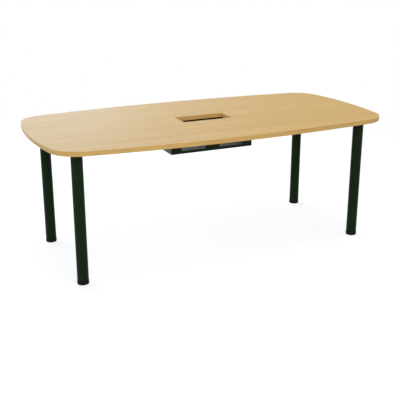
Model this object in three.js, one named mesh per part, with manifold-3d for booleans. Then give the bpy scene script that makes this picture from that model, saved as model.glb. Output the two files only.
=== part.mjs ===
// Conference table: a barrel-shaped laminated top with a cable cut-out, four round steel legs on
// screw-adjusted feet, and a folded sheet-steel cable tray under the cut-out.
// Millimetres, +Z up. The origin is on the floor under the middle of the top, +X runs along the top
// and the front is towards -Y.

import * as THREE from "three";
import { mergeVertices } from "three/addons/utils/BufferGeometryUtils.js";
import Module from "manifold-3d";

const wasm = await Module();
wasm.setup();

// Tabletop
const TOP_LENGTH = 2000; // between the middles of the bowed ends
const TOP_WIDTH = 1000; // between the middles of the bowed sides
const TOP_THICKNESS = 25;
const SIDE_BOW = 75; // rise of each long side's arc over the full length
const END_BOW = 50; // rise of each end's arc over the narrowed width
const CORNER_RADIUS = 160;
const EDGE_BAND_THICKNESS = 2;
const CUTOUT_LENGTH = 300;
const CUTOUT_WIDTH = 140;

// Legs
const LEG_HEIGHT = 710; // floor to the underside of the top
const LEG_DIAMETER = 60;
const LEG_WALL = 1.5;
const LEG_INSET_X = 158; // end of the top to a leg's axis
const LEG_INSET_Y = 172; // side of the top to a leg's axis

// Plate at the head of each leg, with a hollow boss inside the tube
const PLATE_THICKNESS = 6;
const PLATE_BOSS_LENGTH = 35;
const PLATE_BOSS_WALL = 5;
const PLATE_SCREW_COUNT = 4;
const PLATE_SCREW_OFFSET = 13; // outside of the tube to a screw's axis
const PLATE_RIM = 12; // a screw's axis to the plate's edge

// Countersunk wood screws through the plates
const PLATE_SCREW_DIAMETER = 5;
const PLATE_SCREW_HEAD = 9.5;
const PLATE_SCREW_SINK = 2.6; // height of the cone under the head
const PLATE_SCREW_LENGTH = 20;

// Button-head screw that locks a tube on its boss
const LOCK_SCREW_DIAMETER = 6;
const LOCK_SCREW_HEAD = 10.5;
const LOCK_SCREW_HEAD_HEIGHT = 3.3;
const LOCK_SCREW_RIM = 1.1; // straight edge of the head
const LOCK_SCREW_CROWN = 5; // flat top of the head
const LOCK_SCREW_LENGTH = 10;

// Plug in the lower end of each tube
const PLUG_FLANGE = 3;
const PLUG_LENGTH = 35; // inside the tube
const PLUG_WALL = 3;
const PLUG_FLOOR = 4;
const PLUG_BOSS_WALL = 6;

// Levelling foot: a pad turned by hand, a hexagon bolt held in it, and a sole that stays still
const FOOT_HEIGHT = 22; // floor to the top of the pad, screwed right in
const FOOT_OVERHANG = 1; // pad past the outside of the tube
const FOOT_EDGE_RADIUS = 2;
const FOOT_TOP_CHAMFER = 0.8;
const SOLE_THICKNESS = 4;
const SOLE_PROUD = 1; // sole below the rim of the pad
const SOLE_LAND = 1; // flat of the pad between its rounded edge and the sole
const SOLE_CHAMFER = 0.8;
const BOLT_DIAMETER = 10;
const BOLT_HEAD_FLATS = 17;
const BOLT_HEAD_HEIGHT = 6.4;
const BOLT_LENGTH = 60; // under the head
const BOLT_CHAMFER = 1.2;

// Cable tray
const TRAY_LENGTH = 500;
const TRAY_WIDTH = 250;
const TRAY_DEPTH = 140; // underside of the top to the bottom of the tray
const TRAY_SHEET = 1.5;
const TRAY_BEND = 2; // inner radius of a fold
const TRAY_FLANGE = 25;
const WINDOW_LENGTH = 146;
const WINDOW_POST = 88; // width of the post between the two windows
const WINDOW_SILL = 16; // bottom of the tray to a window
const WINDOW_HEAD = 30; // underside of the top to a window
const WINDOW_RADIUS = 6;
const TRAY_END_FLANGE = 16;

// Rivets that hold the tray's ends, set in the flanges of each end
const RIVET_DIAMETER = 4;
const RIVET_HEAD = 8;
const RIVET_HEAD_HEIGHT = 1.5;
const RIVET_CROWN = 4; // flat top of the head
const RIVET_RISE = 21; // bottom of the tray, or underside of the top, to a rivet's axis

// Pan-head screws through the tray's flanges
const TRAY_SCREW_COUNT = 3; // along each flange
const TRAY_SCREW_INSET = 25; // end of the tray to the first screw
const TRAY_SCREW_DIAMETER = 4;
const TRAY_SCREW_HEAD = 8;
const TRAY_SCREW_HEAD_HEIGHT = 2.6;
const TRAY_SCREW_RIM = 1.3; // straight edge of the head
const TRAY_SCREW_CROWN = 4; // flat top of the head
const TRAY_SCREW_LENGTH = 16;

// Clearances
const FIT_GAP = 0.3; // between pieces that meet or slide in each other
const GLUE_LINE = 0.2; // behind an edge band
const CUT_REACH = 1; // how far a cutting shape passes the face it cuts
const DRILL_POINT = 2; // height of the cone at the end of a screw or a pilot hole

// Vertices closer than this are one vertex
const MERGE_TOLERANCE = 1e-4;

// Number of straight steps in a curve
const OUTLINE_STEPS = 16;
const TUBE_STEPS = 40;
const PAD_STEPS = 32;
const PLATE_STEPS = 28;
const PLUG_STEPS = 24;
const BOLT_STEPS = 16;
const SCREW_STEPS = 8;
const BEND_STEPS = 4;
const WINDOW_STEPS = 3;

// Levels and radii that several pieces share
const UNDERSIDE = LEG_HEIGHT;
const LEG_RADIUS = LEG_DIAMETER / 2;
const BORE_RADIUS = LEG_RADIUS - LEG_WALL;
const PLATE_TOP = UNDERSIDE - FIT_GAP;
const PLATE_BOTTOM = PLATE_TOP - PLATE_THICKNESS;
const PLATE_SCREW_RADIUS = LEG_RADIUS + PLATE_SCREW_OFFSET;
const LOCK_LEVEL = PLATE_BOTTOM - PLATE_BOSS_LENGTH / 2;
const PLUG_BOTTOM = FOOT_HEIGHT + FIT_GAP;
const TUBE_BOTTOM = PLUG_BOTTOM + PLUG_FLANGE + FIT_GAP;
const TUBE_TOP = PLATE_BOTTOM - FIT_GAP;
const STEM_BORE = BOLT_DIAMETER / 2 + FIT_GAP;
const BOLT_HEAD_BOTTOM = SOLE_THICKNESS + 2 * FIT_GAP;
const BOLT_HEAD_TOP = BOLT_HEAD_BOTTOM + BOLT_HEAD_HEIGHT;
const PAD_RADIUS = LEG_RADIUS + FOOT_OVERHANG;
const SOLE_RADIUS = PAD_RADIUS - FOOT_EDGE_RADIUS - SOLE_LAND;
const TRAY_BOTTOM = UNDERSIDE - TRAY_DEPTH;
const TRAY_TOP = UNDERSIDE - FIT_GAP;
const TRAY_SCREW_Y = (TRAY_WIDTH + TRAY_FLANGE) / 2;

const LEGS = [
  { name: "front_left", x: -1, y: -1 },
  { name: "front_right", x: 1, y: -1 },
  { name: "rear_left", x: -1, y: 1 },
  { name: "rear_right", x: 1, y: 1 },
];

// Finishes
const laminate = () => finish(0xd6bd92, 0.45, 0);
const edging = () => finish(0xc59d5c, 0.5, 0);
const blackCoat = () => finish(0x1b1d1b, 0.5, 0.2);
const blackPlastic = () => finish(0x141414, 0.6, 0);
const greySole = () => finish(0x2b2b2a, 0.9, 0);
const castMetal = () => finish(0x2a2c2b, 0.55, 0.6);
const zinc = () => finish(0xb9bcbd, 0.35, 1);

function finish(color, roughness, metalness) {
  return new THREE.MeshStandardMaterial({ color, roughness, metalness });
}

// A closed geometry as a solid that can be cut and joined
function toSolid(geometry) {
  const bare = geometry.clone();
  bare.deleteAttribute("normal");
  bare.deleteAttribute("uv");
  const merged = mergeVertices(bare, MERGE_TOLERANCE);
  const corners = merged.index.array;
  const triangles = [];
  for (let i = 0; i < corners.length; i += 3) {
    const [a, b, c] = corners.slice(i, i + 3);
    if (a !== b && b !== c && c !== a) triangles.push(a, b, c);
  }
  const vertProperties = merged.attributes.position.array;
  const triVerts = new Uint32Array(triangles);
  return new wasm.Manifold(new wasm.Mesh({ numProp: 3, vertProperties, triVerts }));
}

function toGeometry(solid) {
  const mesh = solid.getMesh();
  const geometry = new THREE.BufferGeometry();
  geometry.setAttribute("position", new THREE.BufferAttribute(mesh.vertProperties, 3));
  geometry.setIndex(new THREE.BufferAttribute(mesh.triVerts, 1));
  geometry.computeVertexNormals();
  return geometry;
}

function cut(geometry, tools) {
  let solid = toSolid(geometry);
  for (const tool of tools) {
    solid = solid.subtract(toSolid(tool));
  }
  return toGeometry(solid);
}

function join(first, second) {
  return toGeometry(toSolid(first).add(toSolid(second)));
}

// A round piece about the Z axis, from [radius, height] points that run outwards, up and back in
function turned(profile, steps) {
  const points = profile.map(([radius, height]) => new THREE.Vector2(radius, height));
  return new THREE.LatheGeometry(points, steps).rotateX(Math.PI / 2);
}

function block(low, high) {
  const size = high.map((value, axis) => value - low[axis]);
  const middle = high.map((value, axis) => (value + low[axis]) / 2);
  return new THREE.BoxGeometry(...size).translate(...middle);
}

function hexagonBar(flats, bottom, top) {
  const radius = flats / 2 / Math.cos(Math.PI / 6);
  const bar = new THREE.CylinderGeometry(radius, radius, top - bottom, 6).rotateX(Math.PI / 2);
  return bar.translate(0, 0, (bottom + top) / 2);
}

// A quarter circle that rounds a square corner, entered along one direction and left along the other
function roundedCorner(corner, entry, exit, radius, steps) {
  const centre = corner.clone().addScaledVector(entry, -radius).addScaledVector(exit, radius);
  const points = [];
  for (let step = 0; step <= steps; step += 1) {
    const turn = (step / steps) * (Math.PI / 2);
    const point = centre.clone().addScaledVector(exit, -radius * Math.cos(turn));
    points.push(point.addScaledVector(entry, radius * Math.sin(turn)));
  }
  return points;
}

function roundedRectangle(left, bottom, right, top, radius, steps) {
  const east = new THREE.Vector2(1, 0);
  const north = new THREE.Vector2(0, 1);
  const west = new THREE.Vector2(-1, 0);
  const south = new THREE.Vector2(0, -1);
  return [
    ...roundedCorner(new THREE.Vector2(right, bottom), east, north, radius, steps),
    ...roundedCorner(new THREE.Vector2(right, top), north, west, radius, steps),
    ...roundedCorner(new THREE.Vector2(left, top), west, south, radius, steps),
    ...roundedCorner(new THREE.Vector2(left, bottom), south, east, radius, steps),
  ];
}

function prism(outline, depth, hole) {
  const shape = new THREE.Shape(outline);
  if (hole) shape.holes.push(new THREE.Path(hole));
  return new THREE.ExtrudeGeometry(shape, { depth, bevelEnabled: false });
}

// A section drawn in (y, z) and extruded along X
function alongX(geometry) {
  const y = new THREE.Vector3(0, 1, 0);
  const z = new THREE.Vector3(0, 0, 1);
  const x = new THREE.Vector3(1, 0, 0);
  return geometry.applyMatrix4(new THREE.Matrix4().makeBasis(y, z, x));
}

// An outline drawn in (x, z) and extruded along -Y
function alongY(geometry) {
  return geometry.rotateX(Math.PI / 2);
}

// Half chord and rise of an arc to its radius
function arcRadius(halfChord, rise) {
  return (halfChord * halfChord + rise * rise) / (2 * rise);
}

// The barrel outline, moved inwards by an inset: four shallow arcs joined by corner arcs that touch both
function barrelOutline(inset) {
  const sideRadius = arcRadius(TOP_LENGTH / 2, SIDE_BOW);
  const endRadius = arcRadius(TOP_WIDTH / 2 - SIDE_BOW, END_BOW);
  const sideCentre = new THREE.Vector2(0, TOP_WIDTH / 2 - sideRadius);
  const endCentre = new THREE.Vector2(TOP_LENGTH / 2 - endRadius, 0);
  // The corner's centre lies where two circles about the other centres cross
  const reachSide = sideRadius - CORNER_RADIUS;
  const reachEnd = endRadius - CORNER_RADIUS;
  const line = endCentre.clone().sub(sideCentre);
  const apart = line.length();
  const along = (apart * apart + reachSide * reachSide - reachEnd * reachEnd) / (2 * apart);
  const across = Math.sqrt(reachSide * reachSide - along * along);
  line.normalize();
  const corner = sideCentre.clone().addScaledVector(line, along);
  corner.add(new THREE.Vector2(-line.y, line.x).multiplyScalar(-across));
  const endAngle = corner.clone().sub(endCentre).angle();
  const sideAngle = corner.clone().sub(sideCentre).angle();
  const arcs = [
    [endCentre.x, 0, endRadius, -endAngle, endAngle],
    [corner.x, corner.y, CORNER_RADIUS, endAngle, sideAngle],
    [0, sideCentre.y, sideRadius, sideAngle, Math.PI - sideAngle],
    [-corner.x, corner.y, CORNER_RADIUS, Math.PI - sideAngle, Math.PI - endAngle],
  ];
  const half = arcs.flatMap(([x, y, radius, from, to]) => {
    const curve = new THREE.EllipseCurve(x, y, radius - inset, radius - inset, from, to);
    return curve.getPoints(OUTLINE_STEPS).slice(0, -1);
  });
  const otherHalf = half.map((point) => point.clone().negate());
  return [...half, ...otherHalf];
}

function rectangle(length, width) {
  const x = length / 2;
  const y = width / 2;
  return [[-x, -y], [x, -y], [x, y], [-x, y]].map(([px, py]) => new THREE.Vector2(px, py));
}

// Places that repeat
function legPlace(leg) {
  return [leg.x * (TOP_LENGTH / 2 - LEG_INSET_X), leg.y * (TOP_WIDTH / 2 - LEG_INSET_Y)];
}

function plateScrewPlaces() {
  return Array.from({ length: PLATE_SCREW_COUNT }, (_, index) => {
    const angle = ((index + 0.5) / PLATE_SCREW_COUNT) * 2 * Math.PI;
    return [PLATE_SCREW_RADIUS * Math.cos(angle), PLATE_SCREW_RADIUS * Math.sin(angle)];
  });
}

function trayScrewPlaces() {
  const reach = TRAY_LENGTH / 2 - TRAY_SCREW_INSET;
  return Array.from({ length: TRAY_SCREW_COUNT }, (_, index) => {
    return -reach + (2 * reach * index) / (TRAY_SCREW_COUNT - 1);
  });
}

// Screws, standing head down with the underside of what they hold at their own level
function plateScrew(gap) {
  const shank = PLATE_SCREW_DIAMETER / 2 + gap;
  const tip = PLATE_BOTTOM + FIT_GAP + PLATE_SCREW_LENGTH + gap;
  const head = PLATE_SCREW_HEAD / 2 + gap;
  const headBottom = gap ? PLATE_BOTTOM - CUT_REACH : PLATE_BOTTOM + FIT_GAP;
  const profile = [
    [0, headBottom],
    [head, headBottom],
    [head, PLATE_BOTTOM + 2 * FIT_GAP],
    [shank, PLATE_BOTTOM + 2 * FIT_GAP + PLATE_SCREW_SINK],
    [shank, tip - DRILL_POINT],
    [0, tip],
  ];
  return turned(profile, SCREW_STEPS);
}

function trayScrew() {
  const shank = TRAY_SCREW_DIAMETER / 2;
  const seat = TRAY_TOP - TRAY_SHEET - FIT_GAP;
  const profile = [
    [0, seat - TRAY_SCREW_HEAD_HEIGHT],
    [TRAY_SCREW_CROWN / 2, seat - TRAY_SCREW_HEAD_HEIGHT],
    [TRAY_SCREW_HEAD / 2, seat - TRAY_SCREW_RIM],
    [TRAY_SCREW_HEAD / 2, seat],
    [shank, seat],
    [shank, seat + TRAY_SCREW_LENGTH - DRILL_POINT],
    [0, seat + TRAY_SCREW_LENGTH],
  ];
  return turned(profile, SCREW_STEPS);
}

function trayScrewHole() {
  const radius = TRAY_SCREW_DIAMETER / 2 + FIT_GAP;
  const tip = TRAY_TOP - TRAY_SHEET + TRAY_SCREW_LENGTH;
  const start = TRAY_TOP - TRAY_SHEET - CUT_REACH;
  return turned([[0, start], [radius, start], [radius, tip - DRILL_POINT], [0, tip]], SCREW_STEPS);
}

function lockScrew() {
  const shank = LOCK_SCREW_DIAMETER / 2;
  const seat = LEG_RADIUS + FIT_GAP;
  const profile = [
    [0, seat - LOCK_SCREW_LENGTH],
    [shank, seat - LOCK_SCREW_LENGTH],
    [shank, seat],
    [LOCK_SCREW_HEAD / 2, seat],
    [LOCK_SCREW_HEAD / 2, seat + LOCK_SCREW_RIM],
    [LOCK_SCREW_CROWN / 2, seat + LOCK_SCREW_HEAD_HEIGHT],
    [0, seat + LOCK_SCREW_HEAD_HEIGHT],
  ];
  return turned(profile, SCREW_STEPS);
}

function lockScrewHole() {
  const radius = LOCK_SCREW_DIAMETER / 2 + FIT_GAP;
  const start = LEG_RADIUS - LOCK_SCREW_LENGTH;
  const end = LEG_RADIUS + CUT_REACH;
  return turned([[0, start], [radius, start], [radius, end], [0, end]], SCREW_STEPS);
}

// A locking screw's shape, laid along X on the side of the leg that faces the middle of the table
function facingInwards(geometry, leg) {
  const laid = geometry.rotateY(Math.PI / 2);
  if (leg.x > 0) laid.rotateZ(Math.PI);
  return laid.translate(0, 0, LOCK_LEVEL);
}

// Tabletop
function tabletopBoard() {
  const openingRoom = 2 * (EDGE_BAND_THICKNESS + GLUE_LINE);
  const opening = rectangle(CUTOUT_LENGTH + openingRoom, CUTOUT_WIDTH + openingRoom);
  const outline = barrelOutline(EDGE_BAND_THICKNESS + GLUE_LINE);
  const board = prism(outline, TOP_THICKNESS, opening).translate(0, 0, UNDERSIDE);
  const pilots = [];
  for (const leg of LEGS) {
    const [legX, legY] = legPlace(leg);
    for (const [x, y] of plateScrewPlaces()) {
      pilots.push(plateScrew(FIT_GAP).translate(legX + x, legY + y, 0));
    }
  }
  for (const x of trayScrewPlaces()) {
    for (const side of [-1, 1]) {
      pilots.push(trayScrewHole().translate(x, side * TRAY_SCREW_Y, 0));
    }
  }
  return cut(board, pilots);
}

function perimeterEdgeBand() {
  const band = prism(barrelOutline(0), TOP_THICKNESS, barrelOutline(EDGE_BAND_THICKNESS));
  return band.translate(0, 0, UNDERSIDE);
}

function cutoutBandLong(side) {
  const x = CUTOUT_LENGTH / 2 + EDGE_BAND_THICKNESS;
  const y = [CUTOUT_WIDTH / 2, CUTOUT_WIDTH / 2 + EDGE_BAND_THICKNESS];
  const [low, high] = side > 0 ? y : [-y[1], -y[0]];
  return block([-x, low, UNDERSIDE], [x, high, UNDERSIDE + TOP_THICKNESS]);
}

function cutoutBandShort(side) {
  const y = CUTOUT_WIDTH / 2 - GLUE_LINE;
  const x = [CUTOUT_LENGTH / 2, CUTOUT_LENGTH / 2 + EDGE_BAND_THICKNESS];
  const [low, high] = side > 0 ? x : [-x[1], -x[0]];
  return block([low, -y, UNDERSIDE], [high, y, UNDERSIDE + TOP_THICKNESS]);
}

// Leg
function legTube(leg) {
  const tube = turned(
    [
      [BORE_RADIUS, TUBE_BOTTOM],
      [LEG_RADIUS, TUBE_BOTTOM],
      [LEG_RADIUS, TUBE_TOP],
      [BORE_RADIUS, TUBE_TOP],
      [BORE_RADIUS, TUBE_BOTTOM],
    ],
    TUBE_STEPS,
  );
  return cut(tube, [facingInwards(lockScrewHole(), leg)]);
}

function legPlate(leg) {
  const rim = PLATE_SCREW_RADIUS + PLATE_RIM;
  const bossRadius = BORE_RADIUS - FIT_GAP;
  const bossBore = bossRadius - PLATE_BOSS_WALL;
  const bossEnd = PLATE_BOTTOM - PLATE_BOSS_LENGTH;
  const plate = turned(
    [
      [0, PLATE_BOTTOM],
      [bossBore, PLATE_BOTTOM],
      [bossBore, bossEnd],
      [bossRadius, bossEnd],
      [bossRadius, PLATE_BOTTOM],
      [rim, PLATE_BOTTOM],
      [rim, PLATE_TOP],
      [0, PLATE_TOP],
    ],
    PLATE_STEPS,
  );
  const holes = plateScrewPlaces().map(([x, y]) => plateScrew(FIT_GAP).translate(x, y, 0));
  return cut(plate, [...holes, facingInwards(lockScrewHole(), leg)]);
}

function legEndPlug() {
  const wall = BORE_RADIUS - FIT_GAP;
  const shoulder = PLUG_BOTTOM + PLUG_FLANGE;
  const top = shoulder + PLUG_LENGTH;
  const floor = shoulder + PLUG_FLOOR;
  const boss = STEM_BORE + PLUG_BOSS_WALL;
  return turned(
    [
      [STEM_BORE, PLUG_BOTTOM],
      [LEG_RADIUS, PLUG_BOTTOM],
      [LEG_RADIUS, shoulder],
      [wall, shoulder],
      [wall, top],
      [wall - PLUG_WALL, top],
      [wall - PLUG_WALL, floor],
      [boss, floor],
      [boss, top],
      [STEM_BORE, top],
      [STEM_BORE, PLUG_BOTTOM],
    ],
    PLUG_STEPS,
  );
}

// Foot
function footPad() {
  const seat = SOLE_RADIUS + FIT_GAP;
  const ceiling = SOLE_THICKNESS + FIT_GAP;
  const lowerEdge = roundedCorner(
    new THREE.Vector2(PAD_RADIUS, SOLE_PROUD),
    new THREE.Vector2(1, 0),
    new THREE.Vector2(0, 1),
    FOOT_EDGE_RADIUS,
    BEND_STEPS,
  );
  const pad = turned(
    [
      [STEM_BORE, ceiling],
      [seat, ceiling],
      [seat, SOLE_PROUD],
      ...lowerEdge.map((point) => [point.x, point.y]),
      [PAD_RADIUS, FOOT_HEIGHT - FOOT_TOP_CHAMFER],
      [PAD_RADIUS - FOOT_TOP_CHAMFER, FOOT_HEIGHT],
      [STEM_BORE, FOOT_HEIGHT],
      [STEM_BORE, ceiling],
    ],
    PAD_STEPS,
  );
  return cut(pad, [hexagonBar(BOLT_HEAD_FLATS + 2 * FIT_GAP, SOLE_PROUD, BOLT_HEAD_TOP + FIT_GAP)]);
}

function footStem() {
  const radius = BOLT_DIAMETER / 2;
  const top = BOLT_HEAD_TOP + BOLT_LENGTH;
  const shank = turned(
    [
      [0, BOLT_HEAD_BOTTOM + BOLT_HEAD_HEIGHT / 2],
      [radius, BOLT_HEAD_BOTTOM + BOLT_HEAD_HEIGHT / 2],
      [radius, top - BOLT_CHAMFER],
      [radius - BOLT_CHAMFER, top],
      [0, top],
    ],
    BOLT_STEPS,
  );
  return join(hexagonBar(BOLT_HEAD_FLATS, BOLT_HEAD_BOTTOM, BOLT_HEAD_TOP), shank);
}

function footSole() {
  return turned(
    [
      [0, 0],
      [SOLE_RADIUS - SOLE_CHAMFER, 0],
      [SOLE_RADIUS, SOLE_CHAMFER],
      [SOLE_RADIUS, SOLE_THICKNESS],
      [0, SOLE_THICKNESS],
    ],
    PLUG_STEPS,
  );
}

// Cable tray: one sheet folded to a floor, two walls and two flanges that turn outwards
function cableTrayChannel() {
  const out = new THREE.Vector2(1, 0);
  const up = new THREE.Vector2(0, 1);
  const back = new THREE.Vector2(-1, 0);
  const down = new THREE.Vector2(0, -1);
  const wall = TRAY_WIDTH / 2;
  const outerBend = TRAY_BEND + TRAY_SHEET;
  const flangeTip = wall + TRAY_FLANGE;
  const flangeBottom = TRAY_TOP - TRAY_SHEET;
  const insideWall = wall - TRAY_SHEET;
  const insideFloor = TRAY_BOTTOM + TRAY_SHEET;
  const rightHalf = [
    ...roundedCorner(new THREE.Vector2(wall, TRAY_BOTTOM), out, up, outerBend, BEND_STEPS),
    ...roundedCorner(new THREE.Vector2(wall, flangeBottom), up, out, TRAY_BEND, BEND_STEPS),
    new THREE.Vector2(flangeTip, flangeBottom),
    new THREE.Vector2(flangeTip, TRAY_TOP),
    ...roundedCorner(new THREE.Vector2(insideWall, TRAY_TOP), back, down, outerBend, BEND_STEPS),
    ...roundedCorner(new THREE.Vector2(insideWall, insideFloor), down, back, TRAY_BEND, BEND_STEPS),
  ];
  const leftHalf = rightHalf.map((point) => new THREE.Vector2(-point.x, point.y)).reverse();
  const channel = alongX(prism([...rightHalf, ...leftHalf], TRAY_LENGTH)).translate(-TRAY_LENGTH / 2, 0, 0);
  const screwHoles = trayScrewPlaces().flatMap((x) => {
    return [-1, 1].map((side) => trayScrewHole().translate(x, side * TRAY_SCREW_Y, 0));
  });
  const windows = [-WINDOW_POST / 2 - WINDOW_LENGTH, WINDOW_POST / 2].map(windowCut);
  const rivetHoles = [-1, 1].flatMap((end) => rivetPlaces(end).map(rivetHole));
  return cut(channel, [...windows, ...screwHoles, ...rivetHoles]);
}

// One cut through both long walls, from its left side
function windowCut(left) {
  const sill = TRAY_BOTTOM + WINDOW_SILL;
  const head = UNDERSIDE - WINDOW_HEAD;
  const outline = roundedRectangle(left, sill, left + WINDOW_LENGTH, head, WINDOW_RADIUS, WINDOW_STEPS);
  const through = TRAY_WIDTH + 2 * CUT_REACH;
  return alongY(prism(outline, through)).translate(0, through / 2, 0);
}

// End of the tray: a pan whose three flanges lie against the inside of the channel
function cableTrayEnd(side) {
  const reach = TRAY_WIDTH / 2 - TRAY_SHEET - FIT_GAP;
  const bottom = TRAY_BOTTOM + TRAY_SHEET + FIT_GAP;
  const outline = roundedPan(reach, bottom, TRAY_TOP);
  const inside = roundedPan(reach - TRAY_SHEET, bottom + TRAY_SHEET, TRAY_TOP + CUT_REACH);
  const pan = alongX(prism(outline, TRAY_END_FLANGE));
  const hollow = alongX(prism(inside, TRAY_END_FLANGE)).translate(TRAY_SHEET, 0, 0);
  const end = cut(pan, [hollow]).translate(-TRAY_LENGTH / 2, 0, 0);
  const turnedEnd = side < 0 ? end : end.rotateZ(Math.PI);
  return rivetPlaces(side).map(rivet).reduce(join, turnedEnd);
}

// The four rivets of one end: low and high, through the front wall and the rear wall
function rivetPlaces(end) {
  const x = end * (TRAY_LENGTH / 2 - TRAY_END_FLANGE / 2);
  const levels = [TRAY_BOTTOM + RIVET_RISE, UNDERSIDE - RIVET_RISE];
  return levels.flatMap((z) => [-1, 1].map((side) => ({ x, z, side })));
}

// A rivet's shape, turned about Z from the middle of the tray, laid through one long wall
function throughWall(geometry, { x, z, side }) {
  return geometry.rotateX((-side * Math.PI) / 2).translate(x, 0, z);
}

function rivet(place) {
  const shank = RIVET_DIAMETER / 2;
  const seat = TRAY_WIDTH / 2 + FIT_GAP;
  const flangeMiddle = TRAY_WIDTH / 2 - TRAY_SHEET - FIT_GAP - TRAY_SHEET / 2;
  const profile = [
    [0, flangeMiddle],
    [shank, flangeMiddle],
    [shank, seat],
    [RIVET_HEAD / 2, seat],
    [RIVET_CROWN / 2, seat + RIVET_HEAD_HEIGHT],
    [0, seat + RIVET_HEAD_HEIGHT],
  ];
  return throughWall(turned(profile, SCREW_STEPS), place);
}

function rivetHole(place) {
  const radius = RIVET_DIAMETER / 2 + FIT_GAP;
  const start = TRAY_WIDTH / 2 - TRAY_SHEET - FIT_GAP / 2;
  const end = TRAY_WIDTH / 2 + CUT_REACH;
  const profile = [[0, start], [radius, start], [radius, end], [0, end]];
  return throughWall(turned(profile, SCREW_STEPS), place);
}

// A pan's section in (y, z): square at the top, rounded at the two lower corners
function roundedPan(reach, bottom, top) {
  const out = new THREE.Vector2(1, 0);
  const up = new THREE.Vector2(0, 1);
  const right = roundedCorner(new THREE.Vector2(reach, bottom), out, up, TRAY_BEND, BEND_STEPS);
  const left = right.map((point) => new THREE.Vector2(-point.x, point.y)).reverse();
  return [...right, new THREE.Vector2(reach, top), new THREE.Vector2(-reach, top), ...left];
}

// Assembly
function named(name, geometry, material) {
  const mesh = new THREE.Mesh(geometry, material);
  mesh.name = name;
  return mesh;
}

const table = new THREE.Group();

table.add(
  named("tabletop_board", tabletopBoard(), laminate()),
  named("perimeter_edge_band", perimeterEdgeBand(), edging()),
  named("cutout_band_front", cutoutBandLong(-1), edging()),
  named("cutout_band_rear", cutoutBandLong(1), edging()),
  named("cutout_band_left", cutoutBandShort(-1), edging()),
  named("cutout_band_right", cutoutBandShort(1), edging()),
);

for (const leg of LEGS) {
  const group = new THREE.Group();
  const [legX, legY] = legPlace(leg);
  group.position.set(legX, legY, 0);
  group.add(
    named(`leg_tube_${leg.name}`, legTube(leg), blackCoat()),
    named(`leg_plate_${leg.name}`, legPlate(leg), castMetal()),
    named(`leg_lock_screw_${leg.name}`, facingInwards(lockScrew(), leg), zinc()),
    named(`leg_end_plug_${leg.name}`, legEndPlug(), blackPlastic()),
    named(`foot_stem_${leg.name}`, footStem(), zinc()),
    named(`foot_pad_${leg.name}`, footPad(), blackPlastic()),
    named(`foot_sole_${leg.name}`, footSole(), greySole()),
  );
  plateScrewPlaces().forEach(([x, y], index) => {
    const screw = named(`leg_plate_screw_${leg.name}_${index + 1}`, plateScrew(0), zinc());
    screw.position.set(x, y, 0);
    group.add(screw);
  });
  table.add(group);
}

table.add(
  named("cable_tray_channel", cableTrayChannel(), blackCoat()),
  named("cable_tray_end_left", cableTrayEnd(-1), blackCoat()),
  named("cable_tray_end_right", cableTrayEnd(1), blackCoat()),
);

for (const [side, label] of [[-1, "front"], [1, "rear"]]) {
  trayScrewPlaces().forEach((x, index) => {
    const screw = named(`cable_tray_screw_${label}_${index + 1}`, trayScrew(), zinc());
    screw.position.set(x, side * TRAY_SCREW_Y, 0);
    table.add(screw);
  });
}

export default table;
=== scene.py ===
# %% [markdown]
# # A conference table, dressed piece by piece
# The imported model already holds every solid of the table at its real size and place. In this lesson
# each solid gets a finer surface and a finish. The solids could be smoothed with modifiers, but a
# surface that is worked out again from the same measures keeps every rounding and seam in hand, so all
# pieces are made so.

import bmesh
import bpy
import numpy as np
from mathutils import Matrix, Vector


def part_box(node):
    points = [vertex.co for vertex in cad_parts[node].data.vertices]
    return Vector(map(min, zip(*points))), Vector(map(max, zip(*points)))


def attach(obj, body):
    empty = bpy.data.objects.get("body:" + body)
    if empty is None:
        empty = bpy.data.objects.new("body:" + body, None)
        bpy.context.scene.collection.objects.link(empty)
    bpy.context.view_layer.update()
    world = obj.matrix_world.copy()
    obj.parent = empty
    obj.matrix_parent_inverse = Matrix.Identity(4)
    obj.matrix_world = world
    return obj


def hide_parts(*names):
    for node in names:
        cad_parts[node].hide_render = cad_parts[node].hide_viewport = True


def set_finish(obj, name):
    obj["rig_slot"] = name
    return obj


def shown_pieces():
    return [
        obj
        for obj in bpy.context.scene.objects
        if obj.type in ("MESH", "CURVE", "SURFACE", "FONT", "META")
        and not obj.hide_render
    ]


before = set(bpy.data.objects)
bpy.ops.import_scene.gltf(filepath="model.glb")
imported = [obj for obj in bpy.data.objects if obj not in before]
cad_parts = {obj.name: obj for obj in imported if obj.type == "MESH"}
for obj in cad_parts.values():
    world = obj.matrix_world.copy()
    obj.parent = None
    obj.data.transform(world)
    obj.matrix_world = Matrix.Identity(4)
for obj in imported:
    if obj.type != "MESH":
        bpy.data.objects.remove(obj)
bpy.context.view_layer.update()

# %% [markdown]
# ## Measures
# A table maker works from a few measures and lets the rest follow. They could all be typed in here, but
# the boxes of the solids already hold most of them, and a piece that takes them from there can't drift
# away from the solid that it stands for. Only what a box can't tell, such as the bow of a side or the
# wall of a tube, is written out in this script.

# %% Take the measures of the top
MM = 0.001


def box_of(node):
    """Lowest and highest corner of a solid, as arrays."""
    low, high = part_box(node)
    return np.array(low), np.array(high)


top_low, top_high = box_of("perimeter_edge_band")
TOP_LENGTH, TOP_WIDTH = (top_high - top_low)[:2]
UNDERSIDE, TOP_FACE = top_low[2], top_high[2]
print("top", (top_high - top_low).round(4), "underside", round(UNDERSIDE, 4))

# %% [markdown]
# ## From a grid of points to faces
# Every surface below is a grid of points: rows one way, columns the other. Blender could make it from
# curves or by extruding, but a grid needs only one formula, and its faces follow from counting. A plain
# grid is an open sheet. A sleeve closes round an axis, as a tube does, and a ring closes both ways, as
# a hoop does.

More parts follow.
